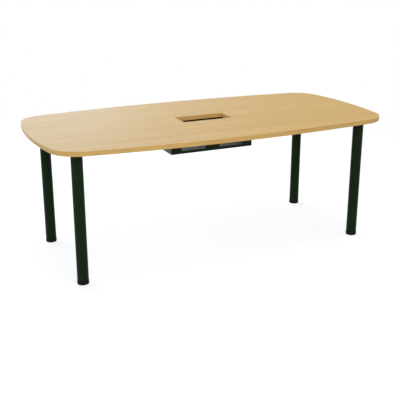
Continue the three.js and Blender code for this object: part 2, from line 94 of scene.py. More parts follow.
# %% Count the faces of a grid
def grid(points, close_rows=False, close_columns=False, uv=None):
    """Points, faces and face-corner UVs of a grid.

    The cell (i, j) joins the points (i, j), (i, j + 1), (i + 1, j + 1) and (i + 1, j). A closed
    direction has one cell more, from its last line back to its first, and the UV grid has that line as
    one of its own.
    """
    rows, columns = points.shape[:2]
    i, j = np.mgrid[: rows - 1 + close_rows, : columns - 1 + close_columns]
    corners = [(i, j), (i, j + 1), (i + 1, j + 1), (i + 1, j)]
    faces = np.stack([(a % rows) * columns + b % columns for a, b in corners], axis=-1)
    corner_uv = None if uv is None else np.stack([uv[a, b] for a, b in corners], axis=-2)
    return points.reshape(-1, 3), faces.reshape(-1, 4), corner_uv


def sleeve(points, uv=None):
    """A grid whose last column is joined to its first."""
    return grid(points, close_columns=True, uv=uv)


def ring(points, uv=None):
    """A grid whose last row and column are joined to its first row and column."""
    return grid(points, close_rows=True, close_columns=True, uv=uv)


sample = np.zeros((3, 4, 3))
face_counts = [len(make(sample)[1]) for make in (grid, sleeve, ring)]
print("faces of 3 rows of 4 points as sheet, sleeve and ring:", *face_counts)

# %% [markdown]
# ## From faces to a piece
# Where rows or columns end in one point or on each other, a mesh has doubles. Merge by Distance in Edit
# Mode would weld them. bmesh does the same from a script, and then turns the faces of a closed shell
# outwards. A piece has its place in its points, so its object stays at the origin, as a solid's object
# does.

# %% Weld grids to a piece
WELD_DISTANCE = 1e-6
SHARP_ANGLE = np.radians(35)


def smooth(mesh):
    """Smooth shading that stops at the sharp edges."""
    mesh.shade_smooth()
    mesh.set_sharp_from_angle(angle=SHARP_ANGLE)


def weld(mesh, shell):
    """Merges points that lie on each other and turns the faces of a closed shell outwards."""
    work = bmesh.new()
    work.from_mesh(mesh)
    bmesh.ops.remove_doubles(work, verts=work.verts, dist=WELD_DISTANCE)
    if shell:
        bmesh.ops.recalc_face_normals(work, faces=work.faces)
    work.to_mesh(mesh)
    work.free()
    smooth(mesh)


def make_piece(name, *grids, shell=True):
    """One mesh object from one or more grids, with its place in its points."""
    starts = np.cumsum([0] + [len(points) for points, _, _ in grids[:-1]])
    points = np.concatenate([points for points, _, _ in grids])
    faces = np.concatenate([faces + start for (_, faces, _), start in zip(grids, starts)])
    mesh = bpy.data.meshes.new(name)
    mesh.from_pydata(points.tolist(), [], faces.tolist())
    if grids[0][2] is not None:
        corner_uv = np.concatenate([uv.reshape(-1, 2) for _, _, uv in grids])
        mesh.uv_layers.new(name="run").uv.foreach_set("vector", corner_uv.ravel())
    weld(mesh, shell)
    piece = bpy.data.objects.new(name, mesh)
    bpy.context.scene.collection.objects.link(piece)
    return piece


print("points closer than", WELD_DISTANCE, "m are merged")

# %% [markdown]
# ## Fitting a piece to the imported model
# A real part is held by something, is listed with a finish and fills a known place. Here a piece rides
# on a body, has a slot for its finish and stands for its solids. All three could be said anew for each
# piece. One helper says them in one line and prints the size of the piece, so none of them is
# forgotten.

# %% Fit a piece
def fit(piece, body, slot, *nodes):
    """The piece rides a body, takes its finish from a slot of the record and stands for its solids."""
    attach(piece, body)
    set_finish(piece, slot)
    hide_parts(*nodes)
    print(f"{piece.name}: {len(piece.data.polygons)} faces, {np.array(piece.dimensions).round(4)} m")


# %% [markdown]
# ## Soft corners
# No edge on a real table is perfectly sharp: board edges are eased, castings and mouldings have radii.
# A Bevel modifier could round them, but in a profile a corner is a plain arc, and a close row beside
# each arc keeps the flat faces flat when they are shaded smooth. So profiles are rounded before they
# become surfaces.

# %% Round the corners of a profile
CORNER_STEPS = 6
SUPPORT = 0.4 * MM
SUPPORT_LIMIT = 0.3


def unit(vectors):
    """Vectors divided by their own length."""
    return vectors / np.linalg.norm(vectors, axis=-1, keepdims=True)


def rounded(corners, radius, closed=True):
    """A profile with an arc at each corner and a support point beside each end of a straight stretch.

    With unit directions a and b from a corner to its neighbours and half the angle h between them, the
    arc's centre lies radius / sin h from the corner along a + b, and the arc starts and ends
    radius / tan h from it. Between these it turns by pi - 2h: a mix of both ends' spokes in the shares
    sin of the turn left and sin of the turn done, over sin of the whole turn.
    """
    corners = np.array(corners, float)
    radius = np.broadcast_to(np.array(radius, float), len(corners))[:, None]
    to_last = unit(np.roll(corners, 1, axis=0) - corners)
    to_next = unit(np.roll(corners, -1, axis=0) - corners)
    half = np.arccos(np.clip((to_last * to_next).sum(axis=1, keepdims=True), -1, 1)) / 2
    centre = corners + unit(to_last + to_next) * radius / np.sin(half)
    first = corners + to_last * radius / np.tan(half) - centre
    last = corners + to_next * radius / np.tan(half) - centre
    turn = (np.pi - 2 * half)[:, None]
    share = np.linspace(0, 1, CORNER_STEPS + 1)[:, None]
    spokes = np.sin((1 - share) * turn) * first[:, None] + np.sin(share * turn) * last[:, None]
    arc = centre[:, None] + spokes / np.sin(turn)
    stretch = np.roll(arc[:, :1], -1, axis=0) - arc[:, -1:]
    near = np.minimum(SUPPORT_LIMIT, SUPPORT / np.linalg.norm(stretch, axis=-1, keepdims=True))
    supports = arc[:, -1:] + stretch * np.concatenate([near, 1 - near], axis=1)
    profile = np.concatenate([arc, supports], axis=1).reshape(-1, 2)
    profile = profile if closed else profile[:-2]
    apart = np.linalg.norm(np.diff(profile, axis=0), axis=1) > WELD_DISTANCE
    return profile[np.concatenate([[True], apart])]


def eased(*corners, closed=False):
    """A rounded profile from corners that bring the radius of their own arc as a third number."""
    corners = np.array(corners, float)
    return rounded(corners[:, :2], corners[:, 2], closed)


square = [(0, 0), (1, 0), (1, 1), (0, 1)]
print("a square with round corners has", len(rounded(square, radius=0.1)), "points")

# %% [markdown]
# ## The outline of the top
# The top is a barrel shape: long sides and ends bow out in shallow arcs, and each corner is an arc that
# touches both. It could be drawn as a curve and traced by eye. Here the eight arcs are worked out from
# the bows and the corner radius, because an arc can be moved inwards exactly, which the band and the
# board behind it both need.

# %% Work out the eight arcs
SIDE_BOW = 75 * MM
END_BOW = 50 * MM
CORNER_RADIUS = 160 * MM


def arc_radius(half_chord, rise):
    """Radius of an arc: half its chord squared plus its rise squared, over twice the rise."""
    return (half_chord**2 + rise**2) / (2 * rise)


def barrel_arcs():
    """Centre x and y, radius, first and last angle of each arc, round from the front of the right end.

    A corner's arc touches a side's and an end's arc from inside, so its centre lies one corner radius
    short of both: where a circle about the side's centre crosses a circle about the end's centre.
    """
    side_radius = arc_radius(TOP_LENGTH / 2, SIDE_BOW)
    end_radius = arc_radius(TOP_WIDTH / 2 - SIDE_BOW, END_BOW)
    side_centre = np.array([0, TOP_WIDTH / 2 - side_radius])
    end_centre = np.array([TOP_LENGTH / 2 - end_radius, 0])
    apart = np.linalg.norm(end_centre - side_centre)
    along = (end_centre - side_centre) / apart
    across = np.array([along[1], -along[0]])
    from_side = side_radius - CORNER_RADIUS
    from_end = end_radius - CORNER_RADIUS
    forth = (apart**2 + from_side**2 - from_end**2) / (2 * apart)
    corner = side_centre + forth * along + np.sqrt(from_side**2 - forth**2) * across
    end_angle = np.arctan2(corner[1], corner[0] - end_centre[0])
    side_angle = np.arctan2(corner[1] - side_centre[1], corner[0])
    half = np.array([
        [end_centre[0], 0, end_radius, -end_angle, end_angle],
        [corner[0], corner[1], CORNER_RADIUS, end_angle, side_angle],
        [0, side_centre[1], side_radius, side_angle, np.pi - side_angle],
        [-corner[0], corner[1], CORNER_RADIUS, np.pi - side_angle, np.pi - end_angle],
    ])
    other_half = half * [-1, -1, 1, 1, 1] + [0, 0, 0, np.pi, np.pi]
    return np.concatenate([half, other_half])


BARREL_ARCS = barrel_arcs()
print("radii of the end, corner, side and corner arcs:", BARREL_ARCS[:4, 2].round(3))

# %% Follow the arcs
OUTLINE_STEPS = 48


def barrel(inset):
    """The outline moved inwards by each inset: an arc's centre + (radius - inset)(cos a, sin a)."""
    share = np.arange(OUTLINE_STEPS) / OUTLINE_STEPS
    x, y, radius, first, last = BARREL_ARCS.T[..., None]
    angle = first + (last - first) * share
    reach = radius - np.array(inset, float)[:, None, None]
    points = np.stack([x + reach * np.cos(angle), y + reach * np.sin(angle)], axis=-1)
    return points.reshape(len(inset), -1, 2)


print("the outline spans", np.ptp(barrel([0])[0], axis=0).round(4), "m")

# %% [markdown]
# ## The board
# The board is one slab with a rectangular cut-out in its middle. Cutting that hole with a Boolean would
# leave long uneven faces. Instead the slab is a ring: each side of the cut-out is joined to the arc
# that it faces, and each corner arc fans out from a corner of the cut-out, so the faces run evenly from
# hole to edge.

# %% Lay a rectangle out like the outline
def rectangle(half_length, half_width, radius, steps):
    """A rectangle round the origin as four pairs of a side and a corner arc, each of as many steps.

    The loop starts low on the right side and turns left. With no radius an arc is one point, repeated.
    """
    share = np.arange(steps + 1) / steps
    angle = (np.arange(4)[:, None] + share) * np.pi / 2
    signs = np.array([[1, 1], [-1, 1], [-1, -1], [1, -1]])[:, None]
    centre = signs * np.array([half_length - radius, half_width - radius])
    arc = centre + radius * np.stack([np.cos(angle), np.sin(angle)], axis=-1)
    side_start = np.roll(arc[:, -1:], 1, axis=0)
    side = side_start + (arc[:, :1] - side_start) * share[:-1, None]
    return np.concatenate([side, arc[:, :-1]], axis=1).reshape(-1, 2)


def level(points, height):
    """Points of a plane raised to a height."""
    return np.concatenate([points, np.full(points.shape[:-1] + (1,), height)], axis=-1)


print("a rectangle in eight runs:", len(rectangle(1, 1, radius=0, steps=OUTLINE_STEPS)), "points")

# %% Make the board
BAND_THICKNESS = 2 * MM
SEAM_GAP = 0.05 * MM
CUTOUT_SIDES = ["front", "rear", "left", "right"]
ROW_SHARES = np.array([0, 0.01, 0.25, 0.5, 0.75, 0.99, 1])[:, None, None]

strip_corners = np.concatenate([box_of(f"cutout_band_{side}") for side in CUTOUT_SIDES])
hole_half = np.ptp(strip_corners[:, :2], axis=0) / 2 + SEAM_GAP
hole = rectangle(*hole_half, radius=0, steps=OUTLINE_STEPS)
board_edge = barrel([BAND_THICKNESS + SEAM_GAP])
face = hole + (board_edge - hole) * ROW_SHARES
board_points = np.concatenate([level(face, TOP_FACE), level(face[::-1], UNDERSIDE)])
board = make_piece("top_board", ring(board_points))
fit(board, "table", "laminate", "tabletop_board")

# %% [markdown]
# ## The edge band
# A strip of wood-coloured plastic is glued round the board and its edges are eased with a cutter. A
# Curve with a bevel profile could follow the outline. Here the rounded section is repeated at every
# step of the outline, so band and board share the same arcs. The UV map holds the length along the
# strip and the way across it, because its grain follows the edge and not the room.

# %% Carry the band's section round the outline
BAND_TOP_RADIUS = 0.8 * MM
BAND_LOW_RADIUS = 0.5 * MM
REAR_MIDDLE = 2 * OUTLINE_STEPS + OUTLINE_STEPS // 2


def run_along(line):
    """Length along a closed line at each of its points, and once more at its start."""
    steps = np.linalg.norm(np.roll(line, -1, axis=0) - line, axis=-1)
    return np.concatenate([[0], np.cumsum(steps)])


band_section = eased(
    (0, UNDERSIDE, BAND_LOW_RADIUS),
    (0, TOP_FACE, BAND_TOP_RADIUS),
    (BAND_THICKNESS, TOP_FACE, 0),
    (BAND_THICKNESS, UNDERSIDE, 0),
    closed=True,
)
band_path = np.roll(barrel(band_section[:, 0]), -REAR_MIDDLE, axis=1)
heights = np.broadcast_to(band_section[:, None, 1:], band_path.shape[:2] + (1,))
band_points = np.concatenate([band_path, heights], axis=-1)
band_uv = np.stack(np.meshgrid(run_along(band_path[0]), run_along(band_section)), axis=-1)
band = make_piece("top_edge_band", ring(band_points, band_uv))
fit(band, "table", "edge_band", "perimeter_edge_band")
print("the strip is", round(band_uv[..., 0].max(), 3), "m long and starts in the middle of the rear")

# %% [markdown]
# ## The strips in the cut-out
# The four walls of the cut-out carry straight pieces of the same band. A cube with a Bevel modifier
# would do, but the same shape is a rounded rectangle that shrinks over its top and bottom edge. Each
# level is the rectangle of the corner centres plus a share of the way out to the rim, and the caps
# close on the strip's own middle line, so the strip is one grid too.

# %% Shape a slab with soft edges
def soft_slab(low, high, radius, steps):
    """A box with round edges, its rows running from the middle of the bottom to the middle of the top.

    At the latitude a the row is the core + (rim - core) cos a, at the height of the corner centres +
    radius sin a.
    """
    half = (high - low) / 2
    core = rectangle(half[0] - radius, half[1] - radius, radius=0, steps=steps)
    rim = rectangle(half[0], half[1], radius, steps)
    quarter = np.linspace(0, np.pi / 2, steps + 1)
    latitude = np.concatenate([-quarter[::-1], quarter])
    lift = np.repeat([radius - half[2], half[2] - radius], steps + 1) + radius * np.sin(latitude)
    rows = core + (rim - core) * np.cos(latitude)[:, None, None]
    spine = core * (half[:2] > half[1::-1])
    rows = np.concatenate([spine[None], rows, spine[None]])
    lift = np.concatenate([lift[:1], lift, lift[-1:]])
    heights = np.broadcast_to(lift[:, None, None], rows.shape[:2] + (1,))
    return np.concatenate([rows, heights], axis=-1) + (low + high) / 2


def strip_uv(points):
    """Length along a strip and height on it, with the first column again at the end."""
    closed = np.concatenate([points, points[:, :1]], axis=1)
    longest = np.argmax(np.ptp(closed[..., :2], axis=(0, 1)))
    return np.stack([closed[..., longest], closed[..., 2]], axis=-1)


print("the cut-out measures", (2 * hole_half / MM).round(1), "mm before its strips")

# %% Make the four strips
STRIP_RADIUS = 0.7 * MM
STRIP_STEPS = 5

for side in CUTOUT_SIDES:
    strip_points = soft_slab(*box_of(f"cutout_band_{side}"), STRIP_RADIUS, STRIP_STEPS)
    strip = make_piece(f"cutout_strip_{side}", sleeve(strip_points, strip_uv(strip_points)))
    fit(strip, "table", "edge_band", f"cutout_band_{side}")

# %% [markdown]
# ## Turned pieces: the leg tubes
# Legs, plugs, pads and screws are all round, so they are profiles turned about an axis, as on a lathe.
# Blender's Screw modifier can do that to a curve. Worked out with arrays, the radius may also change
# with the angle, which gives hexagons, cross recesses and threads in the same way later on.

# %% Turn a profile
def full_turn(steps):
    """Angles of a full turn, as one row."""
    return np.linspace(0, 2 * np.pi, steps, endpoint=False)[None]


def turned(radius, height, turn):
    """Points (radius cos a, radius sin a, height) at each angle a. Radius and height may change with it."""
    return np.stack(np.broadcast_arrays(radius * np.cos(turn), radius * np.sin(turn), height), axis=-1)


def lathe(profile, steps):
    """A profile of (radius, height) points turned about the upright axis."""
    return turned(profile[:, :1], profile[:, 1:], full_turn(steps))


def axis_of(node):
    """The upright middle line of a solid's box, as its point on the floor."""
    low, high = box_of(node)
    return (low + high) / 2 * [1, 1, 0]


print("a turn in eight steps, in degrees:", *np.degrees(full_turn(8))[0])

# %% Turn the leg tubes
LEG_NAMES = ["front_left", "front_right", "rear_left", "rear_right"]
LEG_STEPS = 96
TUBE_WALL = 1.5 * MM
TUBE_END_RADIUS = 0.4 * MM

leg_axis = {leg: axis_of(f"leg_tube_{leg}") for leg in LEG_NAMES}
tubes = {}
for leg in LEG_NAMES:
    low, high = box_of(f"leg_tube_{leg}")
    outside = (high[0] - low[0]) / 2
    inside = outside - TUBE_WALL
    wall_corners = [(inside, low[2]), (outside, low[2]), (outside, high[2]), (inside, high[2])]
    tube_points = lathe(rounded(wall_corners, TUBE_END_RADIUS), LEG_STEPS) + leg_axis[leg]
    tubes[leg] = make_piece(f"{leg}_leg_tube", ring(tube_points))
    fit(tubes[leg], "table", "black_coat", f"leg_tube_{leg}")

# %% [markdown]
# ## The leg plates
# Each leg hangs on a cast plate with a hollow boss that goes into the tube. The plate is turned like
# the tube. Its four countersunk holes lie beside the axis, which one turned grid can't hold, so they
# are cut with a Boolean whose cutters are turned grids too. The cut is applied at once, so that the
# piece is a plain mesh.

# %% Take shapes away from a piece
CUT_SOLVER = "EXACT"


def baked(piece):
    """The piece with its modifiers applied to its mesh."""
    shown = piece.evaluated_get(bpy.context.evaluated_depsgraph_get())
    mesh = bpy.data.meshes.new_from_object(shown)
    piece.modifiers.clear()
    piece.data = mesh
    smooth(mesh)
    return piece


def cut_away(piece, *cutters):
    """Takes the volume of the cutters, which are closed grids, away from the piece."""
    cutter = make_piece("cutter", *cutters)
    cut = piece.modifiers.new("cut", "BOOLEAN")
    cut.operation = "DIFFERENCE"
    cut.solver = CUT_SOLVER
    cut.object = cutter
    baked(piece)
    bpy.data.objects.remove(cutter)


print("cuts use the", CUT_SOLVER, "solver")

# %% Draw the sections of a plate and of its holes
PLATE_BOSS_RADIUS = 28.2 * MM
PLATE_BOSS_BORE = 23.2 * MM
PLATE_THICKNESS = 6 * MM
BOSS_ROOT_RADIUS = 1 * MM
BOSS_LIP_RADIUS = 0.8 * MM
BOSS_FILLET = 0.2 * MM
PLATE_EDGE_RADIUS = 1.5 * MM
PLATE_EASE = 0.3 * MM
SINK_RADIUS = 5.05 * MM
SINK_DEPTH = 3.2 * MM
SINK_EDGE = 0.6 * MM
SCREW_HOLE_RADIUS = 2.8 * MM
CUT_REACH = 1 * MM


def plate_section(rim, bottom, seat, top):
    """Radius and height along half a plate: ceiling and walls of the boss, then the face, rim and top."""
    return eased(
        (0, seat, 0),
        (PLATE_BOSS_BORE, seat, BOSS_ROOT_RADIUS),
        (PLATE_BOSS_BORE, bottom, BOSS_LIP_RADIUS),
        (PLATE_BOSS_RADIUS, bottom, BOSS_LIP_RADIUS),
        (PLATE_BOSS_RADIUS, seat, BOSS_FILLET),
        (rim, seat, PLATE_EDGE_RADIUS),
        (rim, top, PLATE_EASE),
        (0, top, 0),
    )


def sink_section(seat, top):
    """Radius and height along half a countersunk hole, which reaches past the plate on both sides."""
    return np.array([
        (0, seat - CUT_REACH),
        (SINK_RADIUS, seat - CUT_REACH),
        (SINK_RADIUS, seat + SINK_EDGE),
        (SCREW_HOLE_RADIUS, seat + SINK_DEPTH),
        (SCREW_HOLE_RADIUS, top + CUT_REACH),
        (0, top + CUT_REACH),
    ])


print("a hole narrows from", 2 * SINK_RADIUS / MM, "to", 2 * SCREW_HOLE_RADIUS / MM, "mm")

# %% Turn the plates and sink their screw holes
PLATE_STEPS = 72
HOLE_STEPS = 32
PLATE_SCREW_NUMBERS = [1, 2, 3, 4]

plates = {}
for leg in LEG_NAMES:
    low, high = box_of(f"leg_plate_{leg}")
    seat = high[2] - PLATE_THICKNESS
    section = plate_section((high[0] - low[0]) / 2, low[2], seat, high[2])
    plates[leg] = make_piece(f"{leg}_leg_plate", sleeve(lathe(section, PLATE_STEPS) + leg_axis[leg]))
    sink = lathe(sink_section(seat, high[2]), HOLE_STEPS)
    screw_nodes = [f"leg_plate_screw_{leg}_{number}" for number in PLATE_SCREW_NUMBERS]
    cut_away(plates[leg], *[sleeve(sink + axis_of(node)) for node in screw_nodes])
    fit(plates[leg], "table", "plate_coat", f"leg_plate_{leg}")

# %% [markdown]
# ## Screw heads
# Three kinds of screw hold the table together: countersunk ones in the plates, pan-head ones in the
# tray, and a button-head one that locks each tube. A driver's recess isn't round and could be cut with
# a Boolean. But it has one radius for every angle: a cross is the nearer of an arm's end and an arm's
# side, a hexagon the distance to its flat. So these outlines go straight into the turned grid.

# %% Draw a screw with its recess
SCREW_STEPS = 72
SCREW_TURN = full_turn(SCREW_STEPS)
RECESS_FLOOR = 0.5
SMALLEST_SINE = 1e-6


def cross_outline(turn, arm, half_width):
    """Radius of a cross at each angle: the smaller of arm / cos b and half width / sin b.

    The angle b is counted from the nearest arm.
    """
    from_arm = np.abs((turn + np.pi / 4) % (np.pi / 2) - np.pi / 4)
    return np.minimum(arm / np.cos(from_arm), half_width / np.maximum(np.sin(from_arm), SMALLEST_SINE))


def hexagon_outline(turn, flats):
    """Radius of a hexagon at each angle: half its width over flats, divided by cos b.

    The angle b is counted from the middle of the nearest flat.
    """
    return flats / 2 / np.cos(turn % (np.pi / 3) - np.pi / 6)


def turned_screw(profile, recess, depth):
    """A screw with its head down and the head's face at the height 0: a recess, then the turned profile.

    The recess has a floor of half its outline's radius at its depth, and its mouth on the face of the head.
    """
    round_part = np.broadcast_to(profile[:, :1], (len(profile), SCREW_STEPS))
    radius = np.concatenate([0 * recess, RECESS_FLOOR * recess, recess, round_part])
    height = np.concatenate([[depth, depth, 0], profile[:, 1]])[:, None]
    return turned(radius, height, SCREW_TURN)


corner_share = hexagon_outline(SCREW_TURN, flats=2).max()
print("a hexagon's corner lies", corner_share.round(4), "times as far out as the middle of its flat")

# %% [markdown]
# ## Plate screws
# Four countersunk wood screws hold each plate against the board, with their heads in the cones of the
# plate. Sixteen linked copies of one screw would do, but then each would have its place in its object.
# So the points are worked out once and moved to every solid's place. Each screw also needs a hole,
# which is a bit wider than its shank: the drills are kept in a list, to cut the board with them later.

# %% Turn a plate screw
PLATE_FACE_START = 3.2 * MM
PLATE_HEAD_RADIUS = 4.75 * MM
PLATE_HEAD_RIM = 0.4 * MM
PLATE_HEAD_HEIGHT = 3 * MM
PLATE_HEAD_ROOT = 0.4 * MM
PLATE_SHANK_RADIUS = 2.5 * MM
PLATE_SHANK_END = 18 * MM
PLATE_SCREW_LENGTH = 20 * MM
PLATE_CROSS_ARM = 2.6 * MM
PLATE_CROSS_HALF_WIDTH = 0.8 * MM
PLATE_CROSS_DEPTH = 1.8 * MM
RIM_EASE = 0.15 * MM
TIP_EASE = 0.3 * MM

plate_screw_section = eased(
    (PLATE_FACE_START, 0, 0),
    (PLATE_HEAD_RADIUS, 0, RIM_EASE),
    (PLATE_HEAD_RADIUS, PLATE_HEAD_RIM, RIM_EASE),
    (PLATE_SHANK_RADIUS, PLATE_HEAD_HEIGHT, PLATE_HEAD_ROOT),
    (PLATE_SHANK_RADIUS, PLATE_SHANK_END, TIP_EASE),
    (0, PLATE_SCREW_LENGTH, 0),
)
plate_cross = cross_outline(SCREW_TURN, PLATE_CROSS_ARM, PLATE_CROSS_HALF_WIDTH)
plate_screw_points = turned_screw(plate_screw_section, plate_cross, PLATE_CROSS_DEPTH)
cross_mm = plate_cross / MM
print("radius of the cross:", cross_mm.min().round(2), "to", cross_mm.max().round(2), "mm")

# %% Put in the plate screws
FIT_GAP = 0.3 * MM


def drill(radius, start, end):
    """A closed cylinder about the upright axis: a flat end, a wall and a flat end, turned as a profile.

    It is turned by half a step, so that none of its corners falls on a straight line of the grid that it
    cuts.
    """
    profile = np.array([(0, start), (radius, start), (radius, end), (0, end)])
    return turned(profile[:, :1], profile[:, 1:], full_turn(HOLE_STEPS) + np.pi / HOLE_STEPS)


def put_in(name, node, points, shank):
    """Makes an upright screw at the place of its solid, and returns the drill for its hole."""
    low, high = box_of(node)
    axis = axis_of(node)
    screw = make_piece(name, sleeve(points + axis + [0, 0, low[2]]))
    fit(screw, "table", "zinc_steel", node)
    return sleeve(drill(shank + FIT_GAP, low[2], high[2] + FIT_GAP) + axis)


board_drills = []
for leg in LEG_NAMES:
    for number in PLATE_SCREW_NUMBERS:
        name = f"{leg}_plate_screw_{number}"
        node = f"leg_plate_screw_{leg}_{number}"
        board_drills.append(put_in(name, node, plate_screw_points, PLATE_SHANK_RADIUS))

# %% [markdown]
# ## Tray screws
# Six pan-head screws go through the tray's flanges into the board. Their heads are flat underneath and
# softly rounded outside. A copy of a plate screw could be reshaped by hand, but only the profile
# differs, so a new profile goes through the same steps.

# %% Put in the tray screws
TRAY_FACE_START = 2.5 * MM
TRAY_HEAD_RADIUS = 4 * MM
TRAY_HEAD_HEIGHT = 2.6 * MM
TRAY_HEAD_ROUND = 1.2 * MM
TRAY_SHANK_RADIUS = 2 * MM
TRAY_SHANK_END = 14 * MM
TRAY_SCREW_LENGTH = 16 * MM
TRAY_CROSS_ARM = 2.1 * MM
TRAY_CROSS_HALF_WIDTH = 0.65 * MM
TRAY_CROSS_DEPTH = 1.6 * MM
SEAT_EASE = 0.2 * MM
TRAY_SCREW_NUMBERS = [1, 2, 3]

tray_screw_section = eased(
    (TRAY_FACE_START, 0, 0),
    (TRAY_HEAD_RADIUS, 0, TRAY_HEAD_ROUND),
    (TRAY_HEAD_RADIUS, TRAY_HEAD_HEIGHT, SEAT_EASE),
    (TRAY_SHANK_RADIUS, TRAY_HEAD_HEIGHT, SEAT_EASE),
    (TRAY_SHANK_RADIUS, TRAY_SHANK_END, TIP_EASE),
    (0, TRAY_SCREW_LENGTH, 0),
)
tray_cross = cross_outline(SCREW_TURN, TRAY_CROSS_ARM, TRAY_CROSS_HALF_WIDTH)
tray_screw_points = turned_screw(tray_screw_section, tray_cross, TRAY_CROSS_DEPTH)
tray_drills = []
for side in ["front", "rear"]:
    for number in TRAY_SCREW_NUMBERS:
        name = f"tray_screw_{side}_{number}"
        node = f"cable_tray_screw_{side}_{number}"
        tray_drills.append(put_in(name, node, tray_screw_points, TRAY_SHANK_RADIUS))

# %% [markdown]
# ## Holes in the board
# The board is drilled from below for every screw. The heads hide the holes, so they could be left out,
# but then screw and wood would fill the same space. One Boolean takes all the drills away together,
# because one cut leaves cleaner faces than many in a row.

# %% Drill the board for its screws
cut_away(board, *board_drills, *tray_drills)
drill_count = len(board_drills) + len(tray_drills)
print("the board has", drill_count, "screw holes and", len(board.data.polygons), "faces")

# %% [markdown]
# ## Locking screws
# A button-head screw with a hexagon socket goes through each tube into the boss of its plate, from the
# side that faces the middle of the table. It lies level. Its object could be turned, but a piece keeps
# its place in its points, so the points themselves are turned by a matrix, and so is the drill for tube
# and boss.

# %% Turn a locking screw
LOCK_FACE_START = 2.6 * MM
LOCK_HEAD_RADIUS = 5.25 * MM
LOCK_HEAD_RIM = 1.4 * MM
LOCK_HEAD_ROUND = 2.2 * MM
LOCK_HEAD_HEIGHT = 3.2 * MM
LOCK_SHANK_RADIUS = 3 * MM
LOCK_SHANK_END = 13 * MM
LOCK_SCREW_LENGTH = 13.3 * MM
LOCK_SOCKET_FLATS = 4 * MM
LOCK_SOCKET_DEPTH = 2 * MM

lock_screw_section = eased(
    (LOCK_FACE_START, 0, 0),
    (LOCK_HEAD_RADIUS, LOCK_HEAD_RIM, LOCK_HEAD_ROUND),
    (LOCK_HEAD_RADIUS, LOCK_HEAD_HEIGHT, SEAT_EASE),
    (LOCK_SHANK_RADIUS, LOCK_HEAD_HEIGHT, SEAT_EASE),
    (LOCK_SHANK_RADIUS, LOCK_SHANK_END, TIP_EASE),
    (0, LOCK_SCREW_LENGTH, 0),
)
lock_socket = hexagon_outline(SCREW_TURN, LOCK_SOCKET_FLATS)
lock_screw_points = turned_screw(lock_screw_section, lock_socket, LOCK_SOCKET_DEPTH)
lock_drill = drill(LOCK_SHANK_RADIUS + FIT_GAP, 0, LOCK_SCREW_LENGTH + FIT_GAP)
print("the socket is", LOCK_SOCKET_FLATS / MM, "mm over its flats")

# %% Put in the locking screws
def laid(points, up):
    """Points turned so that their own upward axis lies along a level direction.

    Their x goes to the side of that direction, their y to the cross product of both, and their z along it.
    """
    up = np.array(up, float)
    side = np.array([up[1], -up[0], 0])
    return points @ np.array([side, np.cross(up, side), up])


for leg in LEG_NAMES:
    low, high = box_of(f"leg_lock_screw_{leg}")
    outwards = np.sign(leg_axis[leg][0])
    head_x = low[0] if outwards > 0 else high[0]
    head = np.array([head_x, (low[1] + high[1]) / 2, (low[2] + high[2]) / 2])
    screw = make_piece(f"{leg}_lock_screw", sleeve(laid(lock_screw_points, (outwards, 0, 0)) + head))
    fit(screw, "table", "zinc_steel", f"leg_lock_screw_{leg}")
    for held in (tubes[leg], plates[leg]):
        cut_away(held, sleeve(laid(lock_drill, (outwards, 0, 0)) + head))

# %% [markdown]
# ## The end plugs
# A moulded plug closes the lower end of each tube and holds the foot's thread. It is hidden but for its
# collar, so a plain disc would look the same. But the foot's stem runs through it, so it is turned with
# its hollow, its boss and its bore, as the solid has them.

# %% Turn the end plugs
PLUG_BODY_RADIUS = 28.2 * MM
PLUG_COLLAR = 3 * MM
PLUG_WALL = 3 * MM
PLUG_FLOOR = 4 * MM
PLUG_BOSS_RADIUS = 11.3 * MM
PLUG_BORE = 5.3 * MM
PLUG_EASE = 0.3 * MM

for leg in LEG_NAMES:
    low, high = box_of(f"leg_end_plug_{leg}")
    collar = (high[0] - low[0]) / 2
    shoulder = low[2] + PLUG_COLLAR
    plug_corners = [
        (PLUG_BORE, low[2]),
        (collar, low[2]),
        (collar, shoulder),
        (PLUG_BODY_RADIUS, shoulder),
        (PLUG_BODY_RADIUS, high[2]),
        (PLUG_BODY_RADIUS - PLUG_WALL, high[2]),
        (PLUG_BODY_RADIUS - PLUG_WALL, shoulder + PLUG_FLOOR),
        (PLUG_BOSS_RADIUS, shoulder + PLUG_FLOOR),
        (PLUG_BOSS_RADIUS, high[2]),
        (PLUG_BORE, high[2]),
    ]
    plug_points = lathe(rounded(plug_corners, PLUG_EASE), PLATE_STEPS) + leg_axis[leg]
    plug = make_piece(f"{leg}_end_plug", ring(plug_points))
    fit(plug, "table", "black_plastic", f"leg_end_plug_{leg}")

# %% [markdown]
# ## The foot pads
# The table is levelled by turning its feet: a moulded pad grips a hexagon bolt that screws in and out
# of the plug. The six-sided pocket for the bolt's head could be cut with a Boolean. Here it takes the
# hexagon's polar outline for two rows of the turned grid, so round and six-sided stretches share one
# clean surface.

# %% Turn the pads
PAD_EDGE_RADIUS = 2 * MM
PAD_TOP_RADIUS = 0.8 * MM
PAD_EASE = 0.3 * MM
PAD_STEPS = 96
BOLT_FLATS = 17 * MM
BOLT_HEAD_HEIGHT = 6.4 * MM

